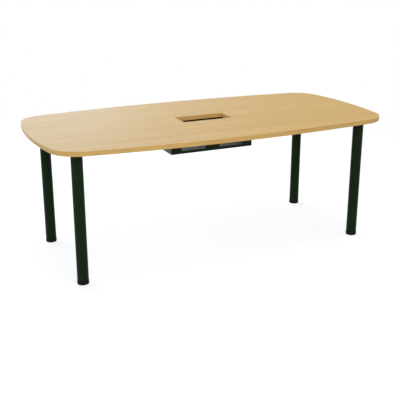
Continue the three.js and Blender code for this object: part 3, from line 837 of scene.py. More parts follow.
pad_turn = full_turn(PAD_STEPS)
pocket = np.repeat(hexagon_outline(pad_turn, BOLT_FLATS + 2 * FIT_GAP), 2, axis=0)
for leg in LEG_NAMES:
    low, high = box_of(f"foot_pad_{leg}")
    sole_low, sole_high = box_of(f"foot_sole_{leg}")
    stem_low, _ = box_of(f"foot_stem_{leg}")
    pad_radius = (high[0] - low[0]) / 2
    seat_radius = (sole_high[0] - sole_low[0]) / 2 + FIT_GAP
    ceiling = sole_high[2] + FIT_GAP
    pocket_top = stem_low[2] + BOLT_HEAD_HEIGHT + FIT_GAP
    round_part = eased(
        (seat_radius, ceiling, 0),
        (seat_radius, low[2], PAD_EASE),
        (pad_radius, low[2], PAD_EDGE_RADIUS),
        (pad_radius, high[2], PAD_TOP_RADIUS),
        (PLUG_BORE, high[2], PAD_EASE),
        (PLUG_BORE, pocket_top, 0),
    )
    radius = np.concatenate([np.broadcast_to(round_part[:, :1], (len(round_part), PAD_STEPS)), pocket])
    height = np.concatenate([round_part[:, 1], [pocket_top, ceiling]])[:, None]
    pad = make_piece(f"{leg}_foot_pad", ring(turned(radius, height, pad_turn) + leg_axis[leg]))
    fit(pad, f"foot_screw_{leg}", "black_plastic", f"foot_pad_{leg}")

# %% [markdown]
# ## The soles
# A sole sits in the underside of each pad and stays still on the floor while the pad turns above it. A
# cylinder with a Bevel modifier would do. It is turned like the pad, because its lower edge, which
# slides over floors, is rounder than its upper one.

# %% Turn the soles
SOLE_EDGE_RADIUS = 0.8 * MM
SOLE_EASE = 0.3 * MM

for leg in LEG_NAMES:
    low, high = box_of(f"foot_sole_{leg}")
    sole_radius = (high[0] - low[0]) / 2
    sole_section = eased(
        (0, low[2], 0),
        (sole_radius, low[2], SOLE_EDGE_RADIUS),
        (sole_radius, high[2], SOLE_EASE),
        (0, high[2], 0),
    )
    sole = make_piece(f"{leg}_foot_sole", sleeve(lathe(sole_section, PAD_STEPS) + leg_axis[leg]))
    fit(sole, f"foot_base_{leg}", "glide_sole", f"foot_sole_{leg}")

# %% [markdown]
# ## The threaded stems
# When a foot is screwed out, a stretch of its bolt shows, so the thread is real. A spiral could be
# swept with the Screw modifier. As a turned grid it is one formula: the radius falls and rises once in
# every pitch of height, and that wave is shifted by one pitch in a full turn, which makes the grooves
# climb as a right-hand thread.

# %% Work out a bolt's head and thread
BOLT_RADIUS = 5 * MM
HEAD_FACE_SHARE = 0.94
HEAD_CHAMFER = 1.2 * MM
HEAD_CHAMFER_ROWS = 5
HEAD_CHAMFER_SLOPE = np.sqrt(3)
THREAD_PITCH = 1.5 * MM
THREAD_DEPTH = 0.92 * MM
ROOT_SHARE = 0.15
FLANK_SHARE = 0.7
STEM_CHAMFER = 1.2 * MM
ROWS_PER_PITCH = 8


def bolt_head(turn):
    """Radius and height of a hexagon head whose face is turned: the smaller of hexagon and cone."""
    rise = np.linspace(0, HEAD_CHAMFER, HEAD_CHAMFER_ROWS)[:, None]
    cone = HEAD_FACE_SHARE * BOLT_FLATS / 2 + rise * HEAD_CHAMFER_SLOPE
    hexagon = hexagon_outline(turn, BOLT_FLATS)
    radius = np.concatenate([0 * hexagon, np.minimum(hexagon, cone), hexagon])
    height = np.concatenate([[[0]], rise, [[BOLT_HEAD_HEIGHT]]])
    return radius, height


def thread(turn, bottom, top):
    """Radius and height of a thread.

    The radius is the bolt's, less the depth where the wave of the phase height / pitch - turn / (2 pi)
    is low. At the top it is no more than a cone's, which makes the chamfer.
    """
    count = int(round((top - bottom) / THREAD_PITCH * ROWS_PER_PITCH))
    height = np.linspace(bottom, top, count)[:, None]
    phase = (height / THREAD_PITCH - turn / (2 * np.pi)) % 1
    tooth = np.clip((np.abs(2 * phase - 1) - ROOT_SHARE) / FLANK_SHARE, 0, 1)
    point = BOLT_RADIUS - np.clip(height - top + STEM_CHAMFER, 0, STEM_CHAMFER)
    return np.minimum(BOLT_RADIUS - THREAD_DEPTH * (1 - tooth), point), height


print("ten turns of the thread lift", 10 * THREAD_PITCH / MM, "mm")

# %% Turn the stems
STEM_STEPS = 48

stem_turn = full_turn(STEM_STEPS)
head_radius, head_height = bolt_head(stem_turn)
for leg in LEG_NAMES:
    low, high = box_of(f"foot_stem_{leg}")
    rod_radius, rod_height = thread(stem_turn, BOLT_HEAD_HEIGHT, high[2] - low[2])
    radius = np.concatenate([head_radius, rod_radius, 0 * stem_turn])
    height = np.concatenate([head_height, rod_height, rod_height[-1:]]) + low[2]
    stem = make_piece(f"{leg}_foot_stem", sleeve(turned(radius, height, stem_turn) + leg_axis[leg]))
    fit(stem, f"foot_screw_{leg}", "zinc_steel", f"foot_stem_{leg}")

# %% [markdown]
# ## The cable tray
# The tray is sheet steel: cut flat with its windows, then folded to a floor, two walls and two flanges.
# A box could be hollowed out, but a sheet without thickness is nearer to how it is made. Folds are
# profiles carried along the tray, and each half of a wall is a sleeve from a window to the rectangle
# round it.

# %% Take the measures of the tray
SHEET = 1.5 * MM
FLANGE = 25 * MM
WINDOW_SILL = 16 * MM
WINDOW_HEAD = 30 * MM
WALL_MARGIN = 8 * MM
WINDOW_STEPS = 10

tray_low, tray_high = box_of("cable_tray_channel")
tray_half_length = (tray_high[0] - tray_low[0]) / 2
wall_y = tray_high[1] - FLANGE
flange_z = tray_high[2] - SHEET
window_low = tray_low[2] + WINDOW_SILL
window_high = UNDERSIDE - WINDOW_HEAD
wall_low = window_low - WALL_MARGIN
wall_high = window_high + WALL_MARGIN
tray_x = np.linspace(-tray_half_length, tray_half_length, 2 * WINDOW_STEPS + 1)
window_height = window_high - window_low
print("tray", (tray_high - tray_low).round(4), "m, windows", round(window_height / MM, 1), "mm high")

# %% Fold the rear half of the channel
INNER_BEND = 2 * MM
WINDOW_NEAR = 44 * MM
WINDOW_FAR = 190 * MM
WINDOW_RADIUS = 6 * MM
PANEL_SHARES = np.array([0, 0.06, 0.5, 1])[:, None, None]


def along_tray(profile):
    """A profile of (y, z) points carried along the tray: one row for each of its points."""
    x, y = np.meshgrid(tray_x, profile[:, 0])
    z = np.broadcast_to(profile[:, 1:], x.shape)
    return np.stack([x, y, z], axis=-1)


def wall_panel(side):
    """Half of a wall: rows in shares of the way from the window's outline to the rectangle round it."""
    window_half = np.array([WINDOW_FAR - WINDOW_NEAR, window_high - window_low]) / 2
    window_middle = np.array([side * (WINDOW_NEAR + WINDOW_FAR), window_low + window_high]) / 2
    panel_half = np.array([tray_half_length, wall_high - wall_low]) / 2
    panel_middle = np.array([side * tray_half_length, wall_low + wall_high]) / 2
    window = rectangle(*window_half, WINDOW_RADIUS, WINDOW_STEPS) + window_middle
    panel = rectangle(*panel_half, radius=0, steps=WINDOW_STEPS) + panel_middle
    rows = window + (panel - window) * PANEL_SHARES
    return np.stack([rows[..., 0], np.full(rows.shape[:2], wall_y), rows[..., 1]], axis=-1)


flange_fold = eased((tray_high[1], flange_z, 0), (wall_y, flange_z, INNER_BEND), (wall_y, wall_high, 0))
floor_fold = eased((wall_y, wall_low, 0), (wall_y, tray_low[2], INNER_BEND + SHEET), (0, tray_low[2], 0))
rear_half = [
    grid(along_tray(flange_fold)),
    sleeve(wall_panel(1)),
    sleeve(wall_panel(-1)),
    grid(along_tray(floor_fold)),
]
print("folds of", len(flange_fold), "and", len(floor_fold), "points along", len(tray_x), "stations")

# %% [markdown]
# ## The whole channel
# The channel is the same after half a turn about the upright axis. A Mirror modifier could make the
# other half. With arrays one product does it, and turned points keep the sides of their faces, which
# mirrored points would swap. Both halves are welded, a Solidify modifier gives the sheet its gauge, and
# the screws' drills make the holes in its flanges.

# %% Turn the half round to make the whole channel
HALF_TURN = np.array([-1, -1, 1])


def with_thickness(piece):
    """The sheet with its thickness laid on the inner side, as a plain closed mesh."""
    gauge = piece.modifiers.new("gauge", "SOLIDIFY")
    gauge.thickness = SHEET
    gauge.offset = -1
    gauge.use_even_offset = True
    return baked(piece)


front_half = [(points * HALF_TURN, faces, uv) for points, faces, uv in rear_half]
channel = with_thickness(make_piece("tray_channel", *rear_half, *front_half, shell=False))
fit(channel, "table", "black_coat", "cable_tray_channel")
cut_away(channel, *tray_drills)

# %% [markdown]
# ## The tray's ends
# Each end is a shallow pan: a plate with flanges folded inwards along three sides, which lie inside the
# channel. Plate and flanges could be four sheets joined at their edges. But the rows can start on the
# plate's middle line, run out to the fold and on over the flange, and the columns follow the U of the
# outline, down one wall, across the floor and up the other. So one grid covers it all, with no seam.

# %% Fold the ends
END_FLANGE = 16 * MM
END_BEND = 3 * MM
PAN_CORNER = 3.5 * MM
BEND_STEPS = 6
END_PLATE_SHARES = np.array([0, 0.5, 0.98])[:, None, None]

pan_reach = wall_y - SHEET - FIT_GAP
pan_bottom = tray_low[2] + SHEET + FIT_GAP


def pan_outline(inset):
    """The U of the pan moved inwards: its corners move with the inset and their radius shrinks by it."""
    side, bottom, top = pan_reach - inset, pan_bottom + inset, tray_high[2]
    corner = PAN_CORNER - inset
    return eased((-side, top, 0), (-side, bottom, corner), (side, bottom, corner), (side, top, 0))


def left_end():
    """Points of the left end: rows from the plate's spine to the fold, round the fold, and its flange.

    At the angle a of a fold with the radius r, the outline has the inset r (1 - sin a) and the depth
    r (1 - cos a).
    """
    angle = np.linspace(0, np.pi / 2, BEND_STEPS + 1)
    fold = np.stack([pan_outline(inset) for inset in END_BEND * (1 - np.sin(angle))])
    spine = np.stack([0 * fold[0, :, 0], (fold[0, :, 1] + tray_high[2]) / 2], axis=-1)
    plate = spine + (fold[0] - spine) * END_PLATE_SHARES
    rows = np.concatenate([plate, fold, fold[-1:]])
    depth = np.concatenate([np.zeros(len(plate)), END_BEND * (1 - np.cos(angle)), [END_FLANGE]])
    x = np.broadcast_to(depth[:, None, None] - tray_half_length, rows.shape[:2] + (1,))
    return np.concatenate([x, rows], axis=-1)


tray_ends = {}
for side, way in [("left", 1), ("right", HALF_TURN)]:
    tray_ends[side] = with_thickness(make_piece(f"tray_end_{side}", grid(left_end() * way), shell=False))
    fit(tray_ends[side], "table", "black_coat", f"cable_tray_end_{side}")

# %% [markdown]
# ## Rivets
# Blind rivets through the walls hold the ends: a low dome on the outside, with a small hole left in its
# middle where the pin broke off, and a bulged head on the blind side. Half spheres would do for the
# domes, but one turned profile gives both heads and the shank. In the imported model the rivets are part
# of the ends, so they stand for no solid of their own.

# %% Turn a rivet
RIVET_HEAD_RADIUS = 4 * MM
RIVET_DOME = 1.5 * MM
RIVET_PIN_RADIUS = 0.9 * MM
RIVET_PIN_DEPTH = 0.8 * MM
RIVET_PIN_EDGE = 0.15 * MM
RIVET_MOUTH_RADIUS = 1.17 * MM
RIVET_SHANK_RADIUS = 2 * MM
RIVET_GRIP = 3.4 * MM
RIVET_BLIND_RADIUS = 2.9 * MM
RIVET_BLIND_HEAD = 1.5 * MM
RIVET_BLIND_EASE = 0.3 * MM
RIVET_BLIND_ROUND = 0.8 * MM
DOME_STEPS = 8
RIVET_STEPS = 32

dome_radius = arc_radius(RIVET_HEAD_RADIUS, RIVET_DOME)
mouth_angle = np.arcsin(RIVET_MOUTH_RADIUS / dome_radius)
rim_angle = np.arcsin(RIVET_HEAD_RADIUS / dome_radius)
dome_angle = np.linspace(mouth_angle, rim_angle, DOME_STEPS)
blind_side = RIVET_DOME + RIVET_GRIP
rivet_length = blind_side + RIVET_BLIND_HEAD
rivet_section = np.concatenate([
    [(0, RIVET_PIN_DEPTH), (RIVET_PIN_RADIUS, RIVET_PIN_DEPTH), (RIVET_PIN_RADIUS, RIVET_PIN_EDGE)],
    np.stack([dome_radius * np.sin(dome_angle), dome_radius * (1 - np.cos(dome_angle))], axis=-1),
    eased(
        (RIVET_SHANK_RADIUS, RIVET_DOME, 0),
        (RIVET_SHANK_RADIUS, blind_side, 0),
        (RIVET_BLIND_RADIUS, blind_side, RIVET_BLIND_EASE),
        (RIVET_BLIND_RADIUS, rivet_length, RIVET_BLIND_ROUND),
        (0, rivet_length, 0),
    ),
])
rivet_points = lathe(rivet_section, RIVET_STEPS)
rivet_drill = drill(RIVET_SHANK_RADIUS + FIT_GAP, 0, rivet_length)
print("a rivet is", round(rivet_length / MM, 1), "mm long")

# %% Set the rivets
RIVET_RISE = 21 * MM

rivet_x = tray_half_length - END_FLANGE / 2
rivet_levels = {"low": tray_low[2] + RIVET_RISE, "high": UNDERSIDE - RIVET_RISE}
for end, x in [("left", -rivet_x), ("right", rivet_x)]:
    rivet_drills = []
    for wall, inwards in [("front", 1), ("rear", -1)]:
        for height, z in rivet_levels.items():
            place = np.array([x, -inwards * (wall_y + SEAM_GAP + RIVET_DOME), z])
            name = f"tray_rivet_{end}_{wall}_{height}"
            rivet = make_piece(name, sleeve(laid(rivet_points, (0, inwards, 0)) + place))
            fit(rivet, "table", "black_coat")
            rivet_drills.append(sleeve(laid(rivet_drill, (0, inwards, 0)) + place))
    cut_away(channel, *rivet_drills)
    cut_away(tray_ends[end], *rivet_drills)

# %% [markdown]
# ## Building a finish from nodes
# A finish is a small network of nodes: coordinates, noise stretched along the grain or not at all,
# ramps that turn noise into colour, and a bump. Adding nodes by hand in the editor is fine for one
# material. For nine of them a few short helpers save much wiring: the first adds a node and fills or
# links its inputs, and the others each add one kind of step.

# %% Add nodes with their inputs
def new_finish(name):
    """A material with its node tree and its main shader."""
    material = bpy.data.materials.new(name)
    material.use_nodes = True
    return material, material.node_tree, material.node_tree.nodes["Principled BSDF"]


def add_node(tree, kind, inputs=None, **settings):
    """A new node with its settings, and its inputs set to a value or linked to another node's socket.

    An input is given by its name, or by its number where several have the same name.
    """
    node = tree.nodes.new(f"ShaderNode{kind}")
    for name, value in settings.items():
        setattr(node, name, value)
    for name, value in (inputs or {}).items():
        if isinstance(value, bpy.types.NodeSocket):
            tree.links.new(value, node.inputs[name])
        else:
            node.inputs[name].default_value = value
    return node


FINISHES = {}
print("finishes so far:", len(FINISHES))

# %% Add the steps of a finish
def noise(tree, place, waves, detail=2, roughness=0.5):
    """Noise with its own number of waves in a metre along each axis: few along the grain, many across it."""
    stretched = add_node(tree, "VectorMath", {0: place, 1: waves}, operation="MULTIPLY")
    inputs = {"Vector": stretched.outputs[0], "Scale": 1, "Detail": detail, "Roughness": roughness}
    return add_node(tree, "TexNoise", inputs).outputs[0]


def ramp(tree, value, span, first, last):
    """A blend from the first colour to the last, while the value runs through a span."""
    node = add_node(tree, "ValToRGB", {"Fac": value})
    for element, position, colour in zip(list(node.color_ramp.elements), span, (first, last)):
        element.position = position
        element.color = (*colour, 1)
    return node.outputs[0]


def scaled(tree, value, low, high):
    """A value from 0 to 1 carried to the range from low to high."""
    return add_node(tree, "MapRange", {"Value": value, "To Min": low, "To Max": high}).outputs[0]


def mixed(tree, first, second, share):
    """Two values in shares that add up to one."""
    part = add_node(tree, "Math", {0: first, 1: 1 - share}, operation="MULTIPLY").outputs[0]
    inputs = {0: second, 1: share, 2: part}
    return add_node(tree, "Math", inputs, operation="MULTIPLY_ADD").outputs[0]


def bump(tree, shader, height, distance):
    """Small hills of a height in metres on the shader's normal."""
    node = add_node(tree, "Bump", {"Height": height, "Distance": distance, "Strength": 1})
    tree.links.new(node.outputs[0], shader.inputs["Normal"])


print("steps: noise, ramp, scaled, mixed, bump")

# %% [markdown]
# ## Wood-grain laminate
# The face of the board is a printed wood grain under a satin film. The grain is straight and fine and
# runs along the table: broad soft bands, narrow streaks, and short dark flecks. An image could be used
# as the print, but noise with few waves along the table and many across it gives all three at any size,
# and a slow sideways drift keeps the streaks from being ruler-straight.

# %% Print the grain
PRINT_START = 12.9
GRAIN_DRIFT = 12 * MM
DRIFT_WAVES = (0.9, 2.5, 2.5)
BROAD_WAVES = (0.4, 20, 20)
STREAK_WAVES = (1.8, 110, 110)
FLECK_WAVES = (60, 1100, 1100)
STREAK_ROUGHNESS = 0.6
STREAK_SHARE = 0.6


def wood_tone(tree, place):
    """Broad bands and streaks as one value, and the flecks as another."""
    drift = noise(tree, place, DRIFT_WAVES, detail=1)
    sideways = scaled(tree, drift, -GRAIN_DRIFT, GRAIN_DRIFT)
    shift = add_node(tree, "CombineXYZ", {"X": PRINT_START, "Y": sideways}).outputs[0]
    wandering = add_node(tree, "VectorMath", {0: place, 1: shift}, operation="ADD").outputs[0]
    broad = noise(tree, wandering, BROAD_WAVES, detail=3)
    streaks = noise(tree, wandering, STREAK_WAVES, detail=4, roughness=STREAK_ROUGHNESS)
    flecks = noise(tree, wandering, FLECK_WAVES, detail=1)
    return mixed(tree, broad, streaks, STREAK_SHARE), flecks


streak_length, streak_width, _ = 1 / np.array(STREAK_WAVES)
print("a streak is about", streak_length.round(2), "m long and", (streak_width / MM).round(), "mm wide")

# %% Lay the laminate
WOOD_DARK = (0.475, 0.290, 0.0885)
WOOD_LIGHT = (0.570, 0.370, 0.132)
TONE_SPAN = (0.32, 0.68)
NO_TINT = (1, 1, 1)
FLECK_TINT = (0.86, 0.83, 0.78)
FLECK_SPAN = (0.6, 0.72)
FLECK_DEPTH = 0.02 * MM
FILM_ROUGHNESS = (0.64, 0.52)
FILM_SPECULAR = 0.17
MIX_SHARE, MIX_FIRST, MIX_SECOND, MIX_RESULT = 0, 6, 7, 2


def wood_laminate():
    """The printed grain with its flecks pressed in, under a film that is smoother where the wood is lighter.

    The sockets for colours of a Mix node are taken by number, because others have the same names.
    """
    material, tree, shader = new_finish("wood_laminate")
    place = add_node(tree, "TexCoord").outputs["Object"]
    tone, flecks = wood_tone(tree, place)
    colour = ramp(tree, tone, TONE_SPAN, WOOD_DARK, WOOD_LIGHT)
    tint = ramp(tree, flecks, FLECK_SPAN, NO_TINT, FLECK_TINT)
    inputs = {MIX_SHARE: 1.0, MIX_FIRST: colour, MIX_SECOND: tint}
    printed = add_node(tree, "Mix", inputs, data_type="RGBA", blend_type="MULTIPLY")
    tree.links.new(printed.outputs[MIX_RESULT], shader.inputs["Base Color"])
    tree.links.new(scaled(tree, tone, *FILM_ROUGHNESS), shader.inputs["Roughness"])
    shader.inputs["Specular IOR Level"].default_value = FILM_SPECULAR
    bump(tree, shader, flecks, -FLECK_DEPTH)
    return material


FINISHES["laminate"] = wood_laminate()
print("laminate nodes:", len(FINISHES["laminate"].node_tree.nodes))

# %% [markdown]
# ## The bands' finish
# The edge band is printed to match the face, a little deeper in tone and with plain streaks along its
# length. The strips in the cut-out are the same band, with its colours painted a shade warmer and
# lighter: painted bounce light, standing in for the light that the walls of the cut-out throw on each
# other. The laminate could be used again, but its grain runs along the room, and on a band it has to
# turn the corners. So it reads the strip's own UV map, which is in metres too.

# %% Print the bands
BAND_DARK = (0.49, 0.298, 0.084)
BAND_LIGHT = (0.62, 0.393, 0.131)
# The strips' colours: the band's, painted lighter and warmer as bounce light inside the cut-out.
INNER_DARK_PAINTED_BOUNCE = (0.545, 0.314, 0.095)
INNER_LIGHT_PAINTED_BOUNCE = (0.690, 0.414, 0.148)
BAND_BROAD_WAVES = (1.5, 60, 1)
BAND_STREAK_WAVES = (6, 420, 1)
BAND_STREAK_SHARE = 0.5
BAND_ROUGHNESS = (0.4, 0.55)
BAND_SPECULAR = 0.3
BAND_RELIEF = 0.03 * MM


def wood_band(name, dark, light):
    """Broad changes and fine streaks along the strip, which also set its gloss and its slight relief."""
    material, tree, shader = new_finish(name)
    run = add_node(tree, "UVMap", uv_map="run").outputs[0]
    broad = noise(tree, run, BAND_BROAD_WAVES, detail=2)
    streaks = noise(tree, run, BAND_STREAK_WAVES, detail=4, roughness=STREAK_ROUGHNESS)
    tone = mixed(tree, broad, streaks, BAND_STREAK_SHARE)
    tree.links.new(ramp(tree, tone, TONE_SPAN, dark, light), shader.inputs["Base Color"])
    tree.links.new(scaled(tree, streaks, *BAND_ROUGHNESS), shader.inputs["Roughness"])
    shader.inputs["Specular IOR Level"].default_value = BAND_SPECULAR
    bump(tree, shader, streaks, BAND_RELIEF)
    return material


FINISHES["edge_band"] = wood_band("wood_edge_band", BAND_DARK, BAND_LIGHT)
# The cut-out's strips: the band with painted bounce light in its colours.
FINISHES["cutout_band"] = wood_band("wood_band_painted_bounce_light", INNER_DARK_PAINTED_BOUNCE, INNER_LIGHT_PAINTED_BOUNCE)
print("band nodes:", len(FINISHES["edge_band"].node_tree.nodes))

# %% [markdown]
# ## Black finishes
# Legs and rivets are powder coated: a dull black skin with a fine orange peel. The tray's sheets have a
# textured coat of the same black, whose many tiny hills scatter light as a grey haze, which the
# shader's sheen gives. The cast plates wear the coat over a coarser skin. Plugs and pads are moulded
# plastic with an even grain, and the soles a duller one. Each could be a network of its own, but all
# are a black skin with a bump, so one function makes them, and numbers set them apart.

# %% Work out a black skin
CLOUD_WAVES = (14, 14, 14)
PEEL_SHARE = 0.4
SKIN_SPAN = (0.3, 0.7)
HAZE_ROUGHNESS = 0.42


def black_finish(name, dark, light, grain, depth, roughness, specular, haze=0):
    """A black skin: cloudy tone, gloss that changes with it, and a bump of a given grain in metres."""
    material, tree, shader = new_finish(name)
    place = add_node(tree, "TexCoord").outputs["Object"]
    clouds = noise(tree, place, CLOUD_WAVES, detail=4)
    peel = noise(tree, place, (1 / grain, 1 / grain, 1 / grain), detail=2)
    colour = ramp(tree, mixed(tree, clouds, peel, PEEL_SHARE), SKIN_SPAN, dark, light)
    tree.links.new(colour, shader.inputs["Base Color"])
    tree.links.new(scaled(tree, clouds, *roughness), shader.inputs["Roughness"])
    shader.inputs["Specular IOR Level"].default_value = specular
    shader.inputs["Sheen Weight"].default_value = haze
    shader.inputs["Sheen Roughness"].default_value = HAZE_ROUGHNESS
    bump(tree, shader, peel, depth)
    return material


cloud_size = 1 / CLOUD_WAVES[0]
print("clouds of about", round(cloud_size / MM), "mm under the grain of each skin")

# %% Coat the steel
COAT_DARK = (0.0052, 0.0150, 0.0042)
COAT_LIGHT = (0.0082, 0.0205, 0.0064)

FINISHES["black_coat"] = black_finish(
    "black_powder_coat",
    COAT_DARK,
    COAT_LIGHT,
    grain=1.4 * MM,
    depth=0.04 * MM,
    roughness=(0.38, 0.5),
    specular=0.05,
    haze=0.03,
)
FINISHES["tray_coat"] = black_finish(
    "textured_powder_coat",
    COAT_DARK,
    COAT_LIGHT,
    grain=0.9 * MM,
    depth=0.06 * MM,
    roughness=(0.55, 0.65),
    specular=0.05,
    haze=0.85,
)
FINISHES["plate_coat"] = black_finish(
    "coated_casting",
    COAT_DARK,
    COAT_LIGHT,
    grain=2.6 * MM,
    depth=0.15 * MM,
    roughness=(0.4, 0.6),
    specular=0.25,
)
print("finishes so far:", *FINISHES)

# %% Mould the plastic
PLASTIC_DARK = (0.0042, 0.0052, 0.0038)
PLASTIC_LIGHT = (0.0090, 0.0108, 0.0082)
SOLE_DARK = (0.020, 0.020, 0.019)
SOLE_LIGHT = (0.045, 0.044, 0.042)

FINISHES["black_plastic"] = black_finish(
    "moulded_plastic",
    PLASTIC_DARK,
    PLASTIC_LIGHT,
    grain=0.7 * MM,
    depth=0.03 * MM,
    roughness=(0.45, 0.6),
    specular=0.08,
)
FINISHES["glide_sole"] = black_finish(
    "worn_glide_sole",
    SOLE_DARK,
    SOLE_LIGHT,
    grain=1.8 * MM,
    depth=0.12 * MM,
    roughness=(0.75, 0.95),
    specular=0.2,
)
print("finishes so far:", *FINISHES)

# %% [markdown]
# ## Zinc plate
# Screws and stems are steel with a bright zinc plate, a metal with a slightly uneven, cloudy gloss. An
# even grey metal would do from far away. Close up, a metal takes its look from its reflections, so the
# noise mainly changes the roughness and only touches the colour.

# %% Plate the steel
ZINC_DARK = (0.47, 0.48, 0.49)
ZINC_LIGHT = (0.66, 0.67, 0.66)
ZINC_CLOUD_WAVES = (160, 160, 160)
ZINC_GRAIN_WAVES = (1500, 1500, 1500)
ZINC_ROUGHNESS = (0.3, 0.5)
ZINC_RELIEF = 0.01 * MM


def zinc_plate():
    """A metal whose clouds change its tone and gloss, with a very fine grain as a bump."""
    material, tree, shader = new_finish("zinc_plate")
    place = add_node(tree, "TexCoord").outputs["Object"]
    clouds = noise(tree, place, ZINC_CLOUD_WAVES, detail=4)
    grain = noise(tree, place, ZINC_GRAIN_WAVES, detail=2)
    tree.links.new(ramp(tree, clouds, SKIN_SPAN, ZINC_DARK, ZINC_LIGHT), shader.inputs["Base Color"])
    tree.links.new(scaled(tree, clouds, *ZINC_ROUGHNESS), shader.inputs["Roughness"])
    shader.inputs["Metallic"].default_value = 1
    bump(tree, shader, grain, ZINC_RELIEF)
    return material


FINISHES["zinc_steel"] = zinc_plate()
print("zinc nodes:", len(FINISHES["zinc_steel"].node_tree.nodes))

# %% [markdown]
# ## Every piece gets its finish
# A parts list names a slot for the finish of each piece. The materials could be put on where a piece is
# made. Put on here, all at once, they keep shapes and finishes apart. Only the tray's sheets and the
# strips in the cut-out have a finish of their own within their slot: the strips' is the band's finish
# with painted bounce light in its colours.

# %% Give every piece its finish
OWN_FINISHES = {
    "tray_coat": ["tray_channel", "tray_end_left", "tray_end_right"],
    # The cut-out strips' own finish carries painted bounce light.
    "cutout_band": [f"cutout_strip_{side}" for side in CUTOUT_SIDES],
}

own_finish = {name: finish for finish, names in OWN_FINISHES.items() for name in names}
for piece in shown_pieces():
    piece.data.materials.clear()
    piece.data.materials.append(FINISHES[own_finish.get(piece.name, piece["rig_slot"])])

# %% [markdown]
# ## Floor and background
# The table stands on a plain white floor in front of white. White paint alone would need so much light
# that the table lost its colours. So the floor is seen as nearly white light with some paint in it:
# open floor is white, and the table's shadow stays as a soft grey. Further out it fades to the
# background. Seen from below it is clear, so that the underside of the table can be looked at too.

# %% Work out the floor's finish
FADE_START = 2.6
FADE_END = 4.2
WHITE_LIGHT = 1.0
FLOOR_GLOW = 0.72
FLOOR_PAINT = (0.36, 0.36, 0.36, 1)
BOUNCE_PAINT = (0.7, 0.7, 0.7, 1)


def seen_directly(tree):
    """1 for rays from the camera, from reflections and through glass, which should all meet the white."""
    path = add_node(tree, "LightPath").outputs
    inputs = {0: path["Is Camera Ray"], 1: path["Is Glossy Ray"]}
    either = add_node(tree, "Math", inputs, operation="MAXIMUM").outputs[0]
    inputs = {0: either, 1: path["Is Transmission Ray"]}
    return add_node(tree, "Math", inputs, operation="MAXIMUM").outputs[0]


def floor_finish():
    """Paint and glow near the table, plain white light far from it, plain paint for bounced light."""
    material = bpy.data.materials.new("white_floor")
    material.use_nodes = True
    tree = material.node_tree
    tree.nodes.clear()
    place = add_node(tree, "TexCoord").outputs["Object"]
    distance = add_node(tree, "VectorMath", {0: place}, operation="LENGTH").outputs["Value"]
    fade_inputs = {"Value": distance, "From Min": FADE_START, "From Max": FADE_END}
    fade = add_node(tree, "MapRange", fade_inputs, interpolation_type="SMOOTHSTEP").outputs[0]
    paint = add_node(tree, "BsdfDiffuse", {"Color": FLOOR_PAINT}).outputs[0]
    glow = add_node(tree, "Emission", {"Strength": FLOOR_GLOW}).outputs[0]
    near = add_node(tree, "AddShader", {0: paint, 1: glow}).outputs[0]
    far = add_node(tree, "Emission", {"Strength": WHITE_LIGHT}).outputs[0]
    seen = add_node(tree, "MixShader", {0: fade, 1: near, 2: far}).outputs[0]
    bounce = add_node(tree, "BsdfDiffuse", {"Color": BOUNCE_PAINT}).outputs[0]
    either = add_node(tree, "MixShader", {0: seen_directly(tree), 1: bounce, 2: seen}).outputs[0]
    below = add_node(tree, "NewGeometry").outputs["Backfacing"]
    clear = add_node(tree, "BsdfTransparent").outputs[0]
    surface = add_node(tree, "MixShader", {0: below, 1: either, 2: clear}).outputs[0]
    add_node(tree, "OutputMaterial", {"Surface": surface})
    return material


print("the floor fades from", FADE_START, "to", FADE_END, "m")

# %% Lay the floor
FLOOR_HALF = 20

reach = np.array([-FLOOR_HALF, FLOOR_HALF])
floor_points = level(np.stack(np.meshgrid(reach, reach), axis=-1), height=0)
floor = make_piece("studio_floor", grid(floor_points), shell=False)
floor.data.materials.append(floor_finish())
print("floor faces up:", floor.data.polygons[0].normal[2] > 0)

# %% [markdown]
# ## Light
# The light is that of a plain white studio: an even glow from all round, a wide soft lamp in front, a
# weaker one at the left end, one overhead towards the right, and two overlapping cool panels behind,
# whose sheen lies on the left part of the top and fades to the right. One strong lamp would be simpler,
# but it would leave dark sides and hard shadows. The lamps are kept at a level where a colour comes out
# about as it was written. The white around is for the eye and for reflections alone.

# %% Make the studio's white and its lamps
AMBIENT = 0.25
WHITE = (1, 1, 1, 1)


def white_world():
    """White to look at and in reflections, and a weaker even glow as light."""
    world = bpy.data.worlds.new("white_studio")
    world.use_nodes = True
    tree = world.node_tree
    tree.nodes.clear()
    ambient = add_node(tree, "Background", {"Color": WHITE, "Strength": AMBIENT}).outputs[0]
    white = add_node(tree, "Background", {"Color": WHITE, "Strength": WHITE_LIGHT}).outputs[0]
    surface = add_node(tree, "MixShader", {0: seen_directly(tree), 1: ambient, 2: white}).outputs[0]
    add_node(tree, "OutputWorld", {"Surface": surface})
    return world


def soft_lamp(name, place, target, size, power, colour):
    """A rectangular lamp at a place, turned towards a target: a lamp shines along its own -Z."""
    light = bpy.data.lights.new(name, "AREA")
    light.shape = "RECTANGLE"
    light.size, light.size_y = size
    light.energy = power
    light.color = colour
    lamp = bpy.data.objects.new(name, light)
    lamp.location = place
    lamp.rotation_euler = (Vector(place) - Vector(target)).to_track_quat("Z", "Y").to_euler()
    lamp.visible_camera = False
    bpy.context.scene.collection.objects.link(lamp)
    print(f"{name}: {power} W at {place}")


bpy.context.scene.world = white_world()
bpy.context.scene.view_settings.view_transform = "Standard"
print("an even glow of", AMBIENT)

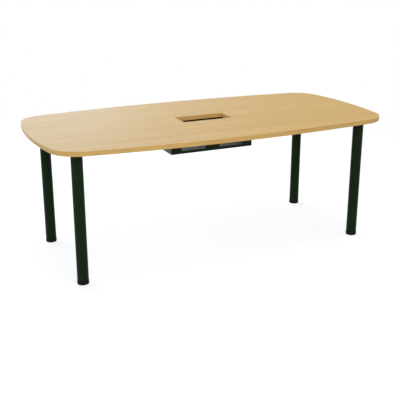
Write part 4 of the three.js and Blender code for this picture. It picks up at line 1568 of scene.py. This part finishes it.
# %% Light the studio
WARM_WHITE = (1.0, 0.985, 0.96)
WARMER_WHITE = (1.0, 0.96, 0.9)
DAYLIGHT_WHITE = (0.98, 0.99, 1.0)
COOL_BLUE = (0.6, 0.78, 1.0)

soft_lamp(
    "front_lamp",
    place=(-1.0, -3.8, 2.5),
    target=(0, 0, 0.5),
    size=(3.6, 2.0),
    power=103,
    colour=WARM_WHITE,
)
soft_lamp(
    "left_lamp",
    place=(-4.4, -0.3, 1.3),
    target=(-0.9, 0, 0.65),
    size=(1.6, 1.6),
    power=26,
    colour=WARMER_WHITE,
)
soft_lamp(
    "overhead_lamp",
    place=(1.2, 0.1, 4.0),
    target=(0.2, 0, 0.7),
    size=(3.0, 2.0),
    power=70,
    colour=DAYLIGHT_WHITE,
)
soft_lamp(
    "rear_panel",
    place=(-1.6, 3.4, 1.8),
    target=(-1.0, 0, 0.74),
    size=(5.2, 1.6),
    power=110,
    colour=COOL_BLUE,
)
soft_lamp(
    "wide_rear_panel",
    place=(-0.3, 4.2, 2.3),
    target=(0, 0, 0.74),
    size=(5.8, 1.6),
    power=78,
    colour=COOL_BLUE,
)

# %% [markdown]
# ## Camera
# The photograph was taken from the front left, at about the eye height of someone who stands, with a
# fairly long lens. The camera could be set by eye over a background image. Its place, turn and lens
# were worked out instead from the table's own straight legs and the outline of its top, for a square
# picture, which is more exact.

# %% Set up the camera
CAMERA_PLACE = (-1.78861, -3.79029, 1.648)
CAMERA_DOWN = np.radians(18.6141)
CAMERA_RIGHT = np.radians(25.0168)
CAMERA_LENS_MM = 67.165
SENSOR_MM = 36

camera_data = bpy.data.cameras.new("camera")
camera_data.sensor_width = SENSOR_MM
camera_data.lens = CAMERA_LENS_MM
camera = bpy.data.objects.new("camera", camera_data)
camera.location = CAMERA_PLACE
camera.rotation_euler = (np.pi / 2 - CAMERA_DOWN, 0, -CAMERA_RIGHT)
bpy.context.scene.collection.objects.link(camera)
bpy.context.scene.camera = camera
print("camera at", CAMERA_PLACE, "with a lens of", CAMERA_LENS_MM, "mm")
